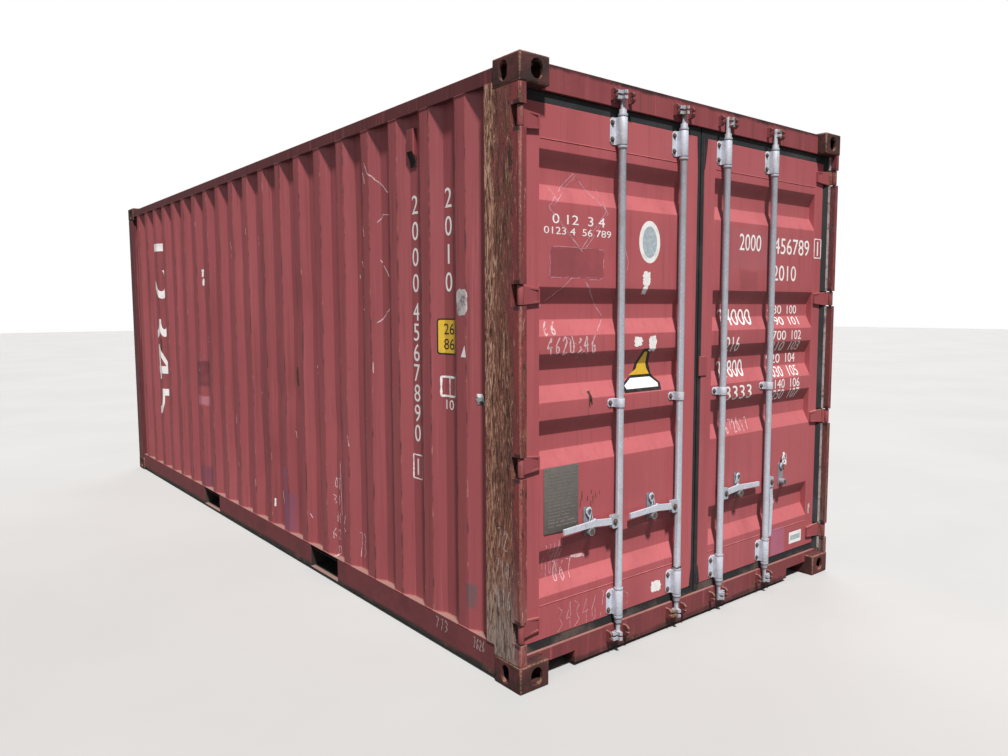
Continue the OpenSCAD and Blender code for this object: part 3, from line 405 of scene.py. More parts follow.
def zinc_finish(name, cfg, rust=0.4, ends=False, tone=1.0):
    """Galvanised steel: dull mottled grey with rust blooms"""
    t = Tree(name)
    big = t.noise(7.0, 8.0, 0.7, warp=0.4)
    flake = t.spots(95.0)
    fine = t.noise(140.0, 5.0, 0.6)
    run = t.noise(5.0, 8.0, 0.7, fit=(8.0, 8.0, 1.2, 2.0))
    t.color = t.mix(flake.span(0.1, 0.6), scaled(cfg.zinc, tone), scaled(cfg.zinc, 0.84 * tone))
    t.over((0.3, 0.29, 0.285), big, 0.48, 0.66, 0.0, 0.55)
    t.over((0.6, 0.62, 0.66), run, 0.28, 0.42, 0.5, 0.0)
    edge = 0.76 - 0.2 * rust
    grow = big * 0.5 + run * 0.5
    # Toward the bar ends the rust grows: rust on the cams, darker also as painted shade where they sit in
    # their keepers
    if ends:
        far = abs(t.axis("Z") - BAR_MID)
        grow = grow + far.span(1.155, 1.19, 0.0, 0.22)
    rusty = grow.span(edge, edge + 0.05)
    t.cover(rusty, t.mix(fine.span(0.42, 0.6), (0.15, 0.072, 0.035), (0.26, 0.15, 0.08)))
    rough = big.span(0.3, 0.7, 0.42, 0.66)
    metal = 0.15 - rusty * 0.15
    return t.finish(rough, fine * 0.4 + rusty, 0.2, 0.0008, metal)


def rubber_finish(name):
    """Weathered black rubber, greyed and dusty"""
    t = Tree(name)
    big = t.noise(4.0, 7.0, 0.65)
    fine = t.noise(50.0, 8.0, 0.7)
    t.color = t.mix(big.span(0.45, 0.7, 0.0, 0.6), (0.012, 0.014, 0.016), (0.045, 0.046, 0.05))
    t.over((0.15, 0.11, 0.105), fine, 0.6, 0.76, 0.0, 0.35)
    low = big + t.axis("Z").span(0.14, 0.24, 0.16, -0.1)
    t.over((0.125, 0.088, 0.074), low, 0.58, 0.74, 0.0, 0.65)
    return t.finish(0.72, fine, 0.25, 0.001)


def floor_finish(name):
    """Worn plywood planks: joints across the length, grain and stains"""
    t = Tree(name)
    board = abs(t.math("FRACT", (t.axis("Y") + 3.0) / PLANK) - 0.5)
    grain = t.noise(9.0, 8.0, 0.65, fit=(9.0, 0.8, 9.0), warp=0.6)
    stain = t.noise(1.3, 6.0, 0.6)
    t.color = t.mix(grain.span(0.35, 0.65), (0.3, 0.185, 0.1), (0.17, 0.1, 0.055))
    t.over((0.09, 0.065, 0.045), stain, 0.5, 0.68, 0.0, 0.6)
    joint = board.span(0.496, 0.4985)
    t.cover(joint, (0.02, 0.015, 0.01))
    return t.finish(0.75, grain - joint, 0.3, 0.001)


def plain_finish(name, color, other, rough=0.5, metal=0.0, scale=30.0, amount=0.5):
    """Two close tones mixed by grime, for small parts and labels"""
    t = Tree(name)
    grime = t.noise(scale, 7.0, 0.68)
    fine = t.noise(scale * 8.0, 4.0, 0.6)
    t.color = t.mix(grime.span(0.44, 0.68, 0.0, amount), color, other)
    return t.finish(grime.span(0.3, 0.7, rough - 0.08, rough + 0.12), fine, 0.12, 0.0005, metal)


# Patches of another tone on a finish, a few of them painted shade: axis, range along it, range in height,
# tint, strength
PATCHES = {
    "wall_left": (("Y", 0.76, 1.10, 0.985, 1.185, (0.150, 0.036, 0.046), 1.0),
                  ("Y", 0.78, 1.06, 0.830, 0.905, (0.44, 0.16, 0.19), 0.9),
                  ("Y", 0.80, 1.12, 0.160, 0.330, (0.150, 0.050, 0.085), 0.7),
                  ("Y", -0.67, -0.60, 0.200, 0.580, (0.24, 0.085, 0.15), 0.95),
                  ("Y", -0.74, -0.58, 0.170, 0.420, (0.21, 0.070, 0.12), 0.9),
                  ("Y", -2.688, -2.640, 0.262, 0.372, (0.120, 0.085, 0.090), 0.85)),
    "door_left": (("X", -1.003, -0.681, 1.727, 1.854, (0.150, 0.036, 0.046), 0.55),),
    "door_right": (("X", 0.268, 0.597, 1.802, 2.010, (0.36, 0.13, 0.15), 0.40),
                   ("X", 0.353, 0.507, 1.692, 1.791, (0.150, 0.036, 0.046), 0.35),
                   ("X", 0.705, 0.843, 0.157, 0.332, (0.40, 0.15, 0.26), 0.60)),
    # Header: near-black line along its top edge under the roof, rust and painted shade
    "header": (("X", -1.3, 1.3, 2.5665, 2.62, (0.028, 0.014, 0.014), 1.0),
               ("Y", -3.05, -2.994, 2.40, 2.62, (0.070, 0.026, 0.024), 0.9)),
    # Sill: painted shade, a near-black band along its foot by the ground
    "sill": (("X", -1.3, 1.3, -0.02, 0.040, (0.040, 0.018, 0.017), 0.9),
             ("Y", -3.05, -2.994, 0.0, 0.14, (0.085, 0.032, 0.028), 0.9)),
    # Ventilator: painted shade, near black, inside the hood around its mouth
    "vent": (("Y", VENT_Y - 0.05, VENT_Y + 0.05, 2.24, 2.318, (0.030, 0.014, 0.014), 1.0),),
}

# Painted finishes: material name, and what differs from paint_finish's defaults
PAINTS = {
    "wall_left": ("wall_paint_left", dict(rust=0.34, streak=0.42, low_rust=0.05, ridges=0.9)),
    "wall": ("wall_paint", dict(rust=0.34, streak=0.42, low_rust=0.05, ridges=0.9)),
    "inside": ("inner_paint", dict(tone=1.10, rust=0.42, streak=0.22, chalk=0.6, low_rust=0.08)),
    "end_wall": ("end_wall_paint", dict(rust=0.34, streak=0.42, low_rust=0.05)),
    "door_left": ("door_paint_left", dict(tone=1.31, rust=0.30, streak=0.24, chalk=0.8)),
    "door_right": ("door_paint_right", dict(tone=1.20, rust=0.30, streak=0.24, chalk=0.8)),
    "trim": ("frame_paint", dict(tone=0.39, rust=0.72, streak=0.5, chalk=0.3, low_rust=0.05, worn=0.18)),
    "vent": ("ventilator_paint", dict(tone=0.70, rust=0.6, streak=0.6, chalk=0.2, dust=0.9, worn=0.25)),
    "header": ("header_paint", dict(tone=0.84, rust=0.50, streak=0.5, chalk=0.4, dust=0.3, worn=0.12)),
    "sill": ("sill_paint", dict(tone=0.66, rust=0.85, streak=0.6, chalk=0.3, low_rust=0.06, worn=0.2)),
    "hinge": ("hinge_paint", dict(tone=0.98, rust=0.55, streak=0.2, worn=0.2)),
    "roof": ("roof_paint", dict(tone=0.90, rust=0.85, streak=0.40, chalk=0.7, dust=0.45)),
}

# Plain finishes: material name, two tones, roughness, metal, scale and amount of the grime
PLAINS = {
    "plate": ("plate_grey", (0.155, 0.140, 0.131), (0.095, 0.082, 0.076), 0.5, 0.2, 14.0),
    "relief": ("plate_relief", (0.185, 0.165, 0.148), (0.135, 0.120, 0.108), 0.5, 0.2, 40.0),
    "ink": ("white_marking", (0.82, 0.80, 0.79), (0.60, 0.42, 0.41), 0.55, 0.0, 18.0, 0.5),
    "paper": ("sticker_white", (0.80, 0.79, 0.78), (0.52, 0.47, 0.45), 0.5, 0.0, 22.0, 0.55),
    "pale": ("sticker_grey_blue", (0.33, 0.40, 0.44), (0.55, 0.60, 0.62), 0.45, 0.0, 60.0, 0.8),
    "foil": ("foil", (0.55, 0.58, 0.60), (0.20, 0.21, 0.22), 0.30, 0.7, 40.0, 0.9),
    "yellow": ("sticker_yellow", (0.72, 0.45, 0.035), (0.50, 0.31, 0.06), 0.42, 0.0, 24.0, 0.6),
    "black": ("sticker_black", (0.014, 0.013, 0.013), (0.05, 0.042, 0.038)),
    "chalk": ("chalk_line", (0.62, 0.44, 0.45), (0.34, 0.14, 0.15), 0.9, 0.0, 60.0, 0.9),
    "faint": ("faint_chalk", (0.42, 0.36, 0.34), (0.16, 0.085, 0.075), 0.9, 0.0, 55.0, 1.0),
    "scratch": ("scratch_line", (0.52, 0.27, 0.31), (0.25, 0.060, 0.075), 0.7, 0.0, 40.0, 1.0),
    "seal": ("sealant", (0.52, 0.48, 0.47), (0.12, 0.09, 0.085), 0.7, 0.0, 30.0, 0.9),
    # Near-black grille for the ventilators' mouths, dark also as painted shade inside the hoods
    "mouth": ("ventilator_dark", (0.010, 0.008, 0.008), (0.030, 0.022, 0.020), 0.7, 0.0, 60.0, 0.6),
    "bolt": ("dull_bolts", (0.085, 0.070, 0.064), (0.17, 0.085, 0.050), 0.7, 0.1, 60.0, 0.8),
}


def make_materials(cfg):
    """Builds all finishes and returns them by name"""
    made = {key: paint_finish(name, cfg, patches=PATCHES.get(key, ()), **looks)
            for key, (name, looks) in PAINTS.items()}
    made.update({key: plain_finish(*row) for key, row in PLAINS.items()})
    stain = plain_finish("rust_stain", scaled(cfg.rust, 0.7), scaled(cfg.rust, 1.6), 0.85, 0.0, 50.0, 0.8)
    made.update(
        post=rusty_post_finish("post_rust", cfg), casting=casting_finish("casting_rust", cfg),
        coat=coat_finish("undercoat", cfg), rail=rail_finish("rail_paint", cfg), stain=stain,
        zinc=zinc_finish("zinc", cfg, rust=0.45, tone=1.35),
        # Handle rests: darker, rustier zinc, darker also as painted shade
        rest=zinc_finish("zinc_rests", cfg, rust=1.0, tone=0.55),
        tube=zinc_finish("zinc_tube", cfg, rust=0.2, ends=True), rubber=rubber_finish("rubber"),
        floor=floor_finish("plywood"))
    return made


# Which nodes have which finish, by the start of their names; the longest start counts
FINISH_NODES = {
    "casting": "castings_", "post": "door_post_", "trim": "closed_post_ top_rail_ closed_end_top_rail",
    "rail": "bottom_rail_ closed_end_bottom_rail", "header": "door_header", "sill": "door_sill",
    "wall_left": "side_wall_left", "wall": "side_wall_right", "end_wall": "closed_end_wall", "roof": "roof",
    "floor": "floor_boards", "coat": "cross_members forklift_pockets", "vent": "ventilators",
    "door_left": "door_frame_left door_sheet_left", "door_right": "door_frame_right door_sheet_right",
    "rubber": "door_gasket_", "hinge": "hinge_blades_ seal_plate", "zinc": "bar_guides_ handle_ catch_",
    "rest": "handle_rests_", "tube": "bar_",
}
MATS = {}
SKINS = {}


def finish_of(node):
    fits = [(len(start), key) for key, starts in FINISH_NODES.items() for start in starts.split()
            if node.startswith(start)]
    return MATS[max(fits)[1]]


# Mesh helpers
def piece(name, bm, mats, body, slot, smooth=40.0):
    """Turns a bmesh into a finished piece at the origin that rides on a body"""
    bmesh.ops.recalc_face_normals(bm, faces=bm.faces)
    me = bpy.data.meshes.new(name)
    bm.to_mesh(me)
    bm.free()
    for key in mats.split():
        me.materials.append(MATS[key])
    me.shade_smooth()
    me.set_sharp_from_angle(angle=math.radians(smooth))
    ob = bpy.data.objects.new(name, me)
    bpy.context.scene.collection.objects.link(ob)
    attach(ob, body)
    return ob


def side_of(x):
    return "left" if x < 0 else "right"


def angles(n):
    return [2 * math.pi * k / n for k in range(n)]


def between(a, b, step):
    """Even places from a to b, about a step apart"""
    n = max(1, round((b - a) / step))
    return [a + (b - a) * i / n for i in range(n + 1)]


def rounded(points, radius, steps=4):
    """Polyline with each inner corner turned into an arc"""
    out = [Vector(points[0])]
    for a, b, c in zip(points, points[1:], points[2:]):
        a, b, c = Vector(a), Vector(b), Vector(c)
        p, q = (a - b).normalized(), (c - b).normalized()
        half = p.angle(q) / 2
        cut = min(radius / math.tan(half), (a - b).length * 0.45, (c - b).length * 0.45)
        start, end = b + p * cut, b + q * cut
        for i in range(steps + 1):
            f = i / steps
            out.append((start * (1 - f) + b * f) * (1 - f) + (b * (1 - f) + end * f) * f)
    return out + [Vector(points[-1])]


def refined(points, longest):
    """Polyline whose pieces are no longer than a limit"""
    out = [points[0]]
    for a, b in zip(points, points[1:]):
        n = max(1, math.ceil((b - a).length / longest))
        out += [a + (b - a) * (i / n) for i in range(1, n + 1)]
    return out


def wall_line():
    """Side wall profile as (y, depth) points"""
    pts = [(WALL_Y0, FOLD_DEPTH)]
    for i in range(WALL_N):
        a = WALL_Y0 + WALL_LEAD + i * WALL_PITCH
        pts += [(a, FOLD_DEPTH), (a + WALL_SLOPE, 0), (a + WALL_SLOPE + WALL_OUT, 0),
                (a + 2 * WALL_SLOPE + WALL_OUT, FOLD_DEPTH)]
    return pts + [(WALL_Y1, FOLD_DEPTH)]


def door_line():
    """Door sheet profile as (z, depth) points"""
    pts = [(DOOR_Z0, 0.0)]
    half = DOOR_IN / 2
    for k in (-3, -1, 0, 1, 3):
        c = DOOR_MID + k * DOOR_PITCH
        pts += [(c - half - DOOR_SLOPE, 0.0), (c - half, FOLD_DEPTH), (c + half, FOLD_DEPTH),
                (c + half + DOOR_SLOPE, 0.0)]
    return pts + [(DOOR_Z1, 0.0)]


class Skin:
    """Folded sheet with bend radii, waves and dents; labels ask it for the depth at a point"""

    def __init__(self, line, rows, sink, fold, sx, door):
        profile = refined(rounded(line, fold), 0.04)
        self.rows, self.sx, self.door = rows, sx, door
        self.s = [p.x for p in profile]
        self.depth = [[p.y + sink(p.x, r) for p in profile] for r in rows]

    def place(self, s, r, d):
        """Point along the profile and across the folds, at a depth behind the sheet's face"""
        if self.door:
            return (self.sx * r, DOOR_FACE + d, s)
        return (self.sx * (WALL_FACE - d), s, r)

    def at(self, s, r):
        """Depth of the sheet's outer face, 0 beside the sheet"""
        if not (self.s[0] <= s <= self.s[-1] and self.rows[0] <= r <= self.rows[-1]):
            return 0.0
        j = min(bisect_right(self.s, s), len(self.s) - 1) - 1
        i = min(bisect_right(self.rows, r), len(self.rows) - 1) - 1
        f = (s - self.s[j]) / (self.s[j + 1] - self.s[j])
        g = (r - self.rows[i]) / (self.rows[i + 1] - self.rows[i])
        a, b = self.depth[i], self.depth[i + 1]
        return (a[j] * (1 - f) + a[j + 1] * f) * (1 - g) + (b[j] * (1 - f) + b[j + 1] * f) * g

    def mesh(self):
        """Both faces and the edges of the sheet; the rear face has the second material"""
        bm = bmesh.new()
        front, rear = ([[bm.verts.new(self.place(s, r, d + back)) for s, d in zip(self.s, row)]
                        for r, row in zip(self.rows, self.depth)] for back in (0.0, SHEET))
        nr, nc = len(self.rows), len(self.s)
        for i in range(nr - 1):
            for j in range(nc - 1):
                bm.faces.new((front[i][j], front[i][j + 1], front[i + 1][j + 1], front[i + 1][j]))
                back = bm.faces.new((rear[i][j], rear[i + 1][j], rear[i + 1][j + 1], rear[i][j + 1]))
                back.material_index = 1
            for j in (0, nc - 1):
                bm.faces.new((front[i][j], front[i + 1][j], rear[i + 1][j], rear[i][j]))
        for j in range(nc - 1):
            for i in (0, nr - 1):
                bm.faces.new((front[i][j], front[i][j + 1], rear[i][j + 1], rear[i][j]))
        return bm

    def drape(self, bm, lift):
        """Lays a flat mesh, drawn as (across, 0, up), on the sheet and gives it a thickness"""
        def along(v):
            return v.co.z if self.door else v.co.x

        def across(v):
            return v.co.x * self.sx if self.door else v.co.z

        s_axis, r_axis, r_sign = (2, 0, self.sx) if self.door else (0, 2, 1)
        cuts = (along, self.s, s_axis, 1), (across, self.rows, r_axis, r_sign)
        for measure, values, axis, sign in cuts:
            low, high = min(map(measure, bm.verts)), max(map(measure, bm.verts))
            for c in [c for c in values if low < c < high]:
                at, normal = Vector(), Vector()
                at[axis], normal[axis] = c * sign, 1.0
                bmesh.ops.bisect_plane(bm, geom=list(bm.verts) + list(bm.edges) + list(bm.faces),
                                       plane_co=at, plane_no=normal)
        faces = list(bm.faces)
        twin = {v: bm.verts.new(v.co) for v in list(bm.verts)}
        for f in faces:
            bm.faces.new([twin[v] for v in reversed(f.verts)]).material_index = f.material_index
        for e in [e for e in bm.edges if len(e.link_faces) == 1 and e.verts[0] in twin]:
            a, b = e.verts
            bm.faces.new((a, b, twin[b], twin[a])).material_index = e.link_faces[0].material_index
        for v, w in twin.items():
            q, r = along(v), across(v)
            d = self.at(q, r) - lift
            v.co, w.co = self.place(q, r, d), self.place(q, r, d + FILM)


def dents(seed, count, s_range, r_range, depth, s_ends, r_ends):
    """Waves and dents of a sheet as a function of the place, which dies out at the sheet's edges"""
    rnd = random.Random(seed)
    spots = [(rnd.uniform(*s_range), rnd.uniform(*r_range),
              rnd.uniform(0.05, 0.17), rnd.uniform(0.06, 0.30), rnd.uniform(0.3, 1.0) * depth)
             for _ in range(count)]

    def sink(s, r):
        d = 0.0006 * noise.noise(Vector((s * 2.1, r * 1.7, seed)))
        for a, b, ws, wr, dep in spots:
            e = ((s - a) / ws) ** 2 + ((r - b) / wr) ** 2
            if e < 6:
                d += dep * math.exp(-e)
        edge = min(r - r_ends[0], r_ends[1] - r, s - s_ends[0], s_ends[1] - s)
        return d * min(1.0, max(0.0, edge) / 0.12)
    return sink


def add_box(bm, x0, x1, y0, y1, z0, z1, bevel=0.0, mat=0):
    """Box with rounded edges"""
    made = bmesh.ops.create_cube(bm, size=1.0, matrix=Matrix.LocRotScale(
        Vector(((x0 + x1) / 2, (y0 + y1) / 2, (z0 + z1) / 2)), None, Vector((x1 - x0, y1 - y0, z1 - z0))))
    for f in {f for v in made["verts"] for f in v.link_faces}:
        f.material_index = mat
    if bevel:
        edges = list(dict.fromkeys(e for v in made["verts"] for e in v.link_edges))
        bmesh.ops.bevel(bm, geom=edges, offset=bevel, segments=2, profile=0.5, affect="EDGES",
                        material=-1)


def bridge(bm, low, high):
    """Faces between two rings of vertices"""
    n = len(low)
    for k in range(n):
        bm.faces.new((low[k], low[(k + 1) % n], high[(k + 1) % n], high[k]))


def add_prism(bm, points, sx, y0, y1):
    """Solid between two copies of an (x, z) outline on one side of the container"""
    rings = [[bm.verts.new((sx * x, y, z)) for x, z in points] for y in (y0, y1)]
    for ring in rings:
        bm.faces.new(ring)
    bridge(bm, *rings)


def standing(at, axis, turn=0.0):
    """Matrix that stands a small shape on a point of a surface"""
    rot = Vector(axis).to_track_quat("Z", "Y").to_matrix().to_4x4()
    return Matrix.Translation(Vector(at)) @ rot @ Matrix.Rotation(turn, 4, "Z")


def add_disc(bm, base, middle, height, low, high, sides):
    """Short cylinder or cone between two radii, its middle above a base"""
    bmesh.ops.create_cone(bm, cap_ends=True, segments=sides, radius1=low, radius2=high, depth=height,
                          matrix=base @ Matrix.Translation((0, 0, middle)))


def add_bolt(bm, at, r, h, turn, axis=(0, -1, 0)):
    """Bolt head with its washer"""
    base = standing(at, axis, turn)
    add_disc(bm, base, 0.001, 0.002, r * 1.45, r * 1.4, 24)
    add_disc(bm, base, 0.0018 + h * 0.4, h * 0.8, r, r, 6)
    add_disc(bm, base, 0.0018 + h * 0.9, h * 0.2, r, r * 0.78, 6)


def add_rivet(bm, at, axis, r):
    """Domed rivet head"""
    base = standing(at, axis)
    rings = []
    for a in [math.pi / 2 * i / 4 for i in range(4)]:
        reach, rise = r * math.cos(a), r * 0.55 * math.sin(a)
        rings.append([bm.verts.new(base @ Vector((reach * math.cos(b), reach * math.sin(b), rise)))
                      for b in angles(14)])
    tip = bm.verts.new(base @ Vector((0, 0, r * 0.55)))
    for low, high in zip(rings, rings[1:]):
        bridge(bm, low, high)
    for k in range(14):
        bm.faces.new((rings[-1][k], rings[-1][(k + 1) % 14], tip))


def add_bead(bm, path, r, seed):
    """Weld bead: an uneven round string along a path"""
    pts = refined([Vector(p) for p in path], 0.02)
    rings = []
    for i, p in enumerate(pts):
        d = (pts[min(i + 1, len(pts) - 1)] - pts[max(i - 1, 0)]).normalized()
        side = d.cross(Vector((0.31, 0.77, 0.55))).normalized()
        up = d.cross(side)
        k = r * (1.0 + 0.28 * noise.noise(Vector((i * 0.9, seed, 0.0))))
        rings.append([bm.verts.new(p + side * math.cos(a) * k + up * math.sin(a) * k) for a in angles(6)])
    for low, high in zip(rings, rings[1:]):
        bridge(bm, low, high)
    bm.faces.new(rings[0])
    bm.faces.new(rings[-1])


# Flat drawings for the labels
def flat(*groups):
    """Flat faces from groups of (across, up) outlines, one material for each group"""
    bm = bmesh.new()
    for mat, outlines in enumerate(groups):
        for pts in outlines:
            bm.faces.new([bm.verts.new((a, 0, z)) for a, z in pts]).material_index = mat
    return bm


def outline(*mm):
    """(across, up) points in metres from the same in millimetres"""
    return [(a / 1000, z / 1000) for a, z in zip(mm[::2], mm[1::2])]


def oval(a, z, ra, rz):
    return [(a + ra * math.cos(t), z + rz * math.sin(t)) for t in angles(48)]


def rect(a0, a1, z0, z1, r=0.0):
    """Rectangle with round corners"""
    if not r:
        return [(a0, z0), (a1, z0), (a1, z1), (a0, z1)]
    corners = (a1 - r, z1 - r, 0), (a0 + r, z1 - r, 1), (a0 + r, z0 + r, 2), (a1 - r, z0 + r, 3)
    return [(a + r * math.cos(t), z + r * math.sin(t))
            for a, z, quarter in corners for t in [(quarter + k / 4) * math.pi / 2 for k in range(5)]]


def loop(*box):
    """Closed line round a box"""
    return rect(*box) + rect(*box)[:1]


def torn(rnd, a0, a1, z0, z1, n=6, bite=0.22):
    """Rectangle with ragged sides, as torn paper"""
    pts, keep = [], 0.0
    for k in range(8 * n):
        t = math.pi * k / (4 * n) + 0.01
        reach = max(abs(math.cos(t)), abs(math.sin(t)))
        keep = 0.55 * keep + 0.45 * rnd.random()
        r = (1.0 - bite * (2.0 * keep + 0.35 * rnd.random())) / reach * min(1.0, 1.22 * reach)
        pts.append(((a0 + a1) / 2 + (a1 - a0) / 2 * r * math.cos(t),
                    (z0 + z1) / 2 + (z1 - z0) / 2 * r * math.sin(t)))
    return pts


def add_line(bm, rnd, pts, width, shake=0.002, gap=0.0):
    """Hand-drawn line as a flat ribbon with uneven width and breaks"""
    pts = refined([Vector((a, 0, z)) for a, z in pts], 0.022)
    pts = [p + Vector((rnd.uniform(-shake, shake), 0, rnd.uniform(-shake, shake))) for p in pts]
    for a, b in zip(pts, pts[1:]):
        if rnd.random() < gap or (b - a).length < 1e-5:
            continue
        d = (b - a).normalized()
        n = Vector((-d.z, 0, d.x))
        w0, w1 = (width * rnd.uniform(0.3, 0.7) for _ in (0, 1))
        bm.faces.new([bm.verts.new(q) for q in (a - n * w0, b - n * w1, b + n * w1, a + n * w0)])


# Handwritten digits as (across, up) points in a unit box
STROKES = (((0.45, 1.0), (0.5, 0.0)), ((0.1, 0.95), (0.85, 1.0), (0.4, 0.0)),
           ((0.1, 0.75), (0.5, 1.0), (0.8, 0.7), (0.1, 0.0), (0.9, 0.05)),
           ((0.7, 0.0), (0.65, 1.0), (0.05, 0.4), (0.95, 0.45)),
           ((0.1, 0.95), (0.8, 0.8), (0.35, 0.55), (0.85, 0.25), (0.1, 0.0)),
           ((0.5, 1.0), (0.15, 0.6), (0.25, 0.1), (0.7, 0.05), (0.85, 0.5), (0.5, 1.0)),
           ((0.8, 1.0), (0.2, 0.5), (0.3, 0.0), (0.8, 0.15), (0.7, 0.45), (0.2, 0.4)))


def add_scrawl(bm, rnd, a0, a1, z0, z1, count, width):
    """Row of plain digits drawn by hand with chalk"""
    step = (a1 - a0) / count
    for i in range(count):
        lean = rnd.uniform(-0.1, 0.2)
        pts = [(a0 + step * (i + 0.1 + 0.72 * (u + lean * w)),
                z0 + (z1 - z0) * (w + rnd.uniform(-0.05, 0.05))) for u, w in rnd.choice(STROKES)]
        add_line(bm, rnd, pts, width, 0.0015, 0.05)


def numbers(rows, flip=False):
    """Plain digits, each row filling a box; flip mirrors them for a wall that is seen from -X"""
    bm = bmesh.new()
    for text, a0, a1, z0, z1, *turned in rows:
        cu = bpy.data.curves.new("digits", "FONT")
        cu.body = text
        cu.resolution_u = 4
        ob = bpy.data.objects.new("digits", cu)
        me = bpy.data.meshes.new_from_object(ob)
        old = len(bm.verts)
        bm.from_mesh(me)
        bpy.data.objects.remove(ob)
        bpy.data.curves.remove(cu)
        bpy.data.meshes.remove(me)
        verts = list(bm.verts)[old:]
        lo, hi = ([pick(v.co[i] for v in verts) for i in (0, 1)] for pick in (min, max))
        if len(text) == 1:
            trim = max(0.0, a1 - a0 - (hi[0] - lo[0]) / (hi[1] - lo[1]) * (z1 - z0)) / 2
            a0, a1 = a0 + trim, a1 - trim
        for v in verts:
            u, w = ((v.co[i] - lo[i]) / (hi[i] - lo[i]) for i in (0, 1))
            if turned:
                u, w = w, 1.0 - u
            v.co = (a1 - u * (a1 - a0) if flip else a0 + u * (a1 - a0), 0, z0 + w * (z1 - z0))
    return bm


def lay(name, key, bm, mats, lift=LIFT):
    """Drapes a flat drawing on a door or side wall and makes it a piece"""
    SKINS[key].drape(bm, lift)
    kind, sx = key
    body = "door_" + side_of(sx) if kind == "door" else "container"
    piece(name, bm, mats, body, kind + "_paint")


def scribble(name, key, mats, rnd, words=(), lines=()):
    """Rows of digits and lines by hand: what add_scrawl and add_line take"""
    bm = bmesh.new()
    for word in words:
        add_scrawl(bm, rnd, *word)
    for line in lines:
        add_line(bm, rnd, *line)
    lay(name, key, bm, mats)


# Operators
class CONTAINER_OT_finishes(bpy.types.Operator):
    """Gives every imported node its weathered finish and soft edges"""
    bl_idname = "container.finishes"
    bl_label = "Finishes"

    def execute(self, context):
        paint, shape, _ = settings()
        MATS.update(make_materials(paint))
        for name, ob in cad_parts.items():
            ob.data.materials.clear()
            ob.data.materials.append(finish_of(name))
            ob.modifiers.new("weld", "WELD").merge_threshold = 0.00002
            bevel = ob.modifiers.new("edges", "BEVEL")
            bevel.width = shape.edge
            bevel.segments = 2
            bevel.limit_method = "ANGLE"
            bevel.angle_limit = math.radians(50)
            bevel.harden_normals = False
        return {"FINISHED"}


class CONTAINER_OT_walls(bpy.types.Operator):
    """Builds the side walls as folded sheets with bend radii, waves and dents"""
    bl_idname = "container.walls"
    bl_label = "Side walls"

    def execute(self, context):
        _, shape, _ = settings()
        rows = between(WALL_Z0, WALL_Z1, 0.065)
        for k, sx in enumerate((-1, 1)):
            waves = dents(shape.seed + k, 30, (-1.9, 2.7), (0.3, 2.3), shape.dent,
                          (WALL_Y0, WALL_Y1), (WALL_Z0, WALL_Z1))

            def sink(y, z):
                """The waves, left out where the large numbers lie"""
                calm = min(1.0, (y - CALM_Y0) / CALM_END + 1.0, (CALM_Y1 - y) / CALM_END + 1.0)
                return waves(y, z) * (1.0 - max(0.0, calm))

            skin = SKINS["wall", sx] = Skin(wall_line(), rows, sink, shape.fold, sx, False)
            mats = "wall_left inside" if sx < 0 else "wall inside"
            ob = piece("side_sheet_" + side_of(sx), skin.mesh(), mats, "container", "wall_paint")
            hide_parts("side_wall_" + side_of(sx))
        return {"FINISHED"}


class CONTAINER_OT_doors(bpy.types.Operator):
    """Builds the doors' corrugated sheets"""
    bl_idname = "container.doors"
    bl_label = "Door sheets"

    def execute(self, context):
        _, shape, _ = settings()
        rows = between(DOOR_X0, DOOR_X1, 0.06)
        for k, sx in enumerate((-1, 1)):
            side = side_of(sx)
            sink = dents(shape.seed + 20 + k, 9, (0.5, 2.2), (0.2, 1.0), shape.dent * 0.4,
                         (DOOR_Z0, DOOR_Z1), (DOOR_X0, DOOR_X1))
            skin = SKINS["door", sx] = Skin(door_line(), rows, sink, shape.fold, sx, True)
            ob = piece("door_panel_" + side, skin.mesh(), f"door_{side} inside", "door_" + side,
                       "door_paint")
            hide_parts("door_sheet_" + side)
        return {"FINISHED"}


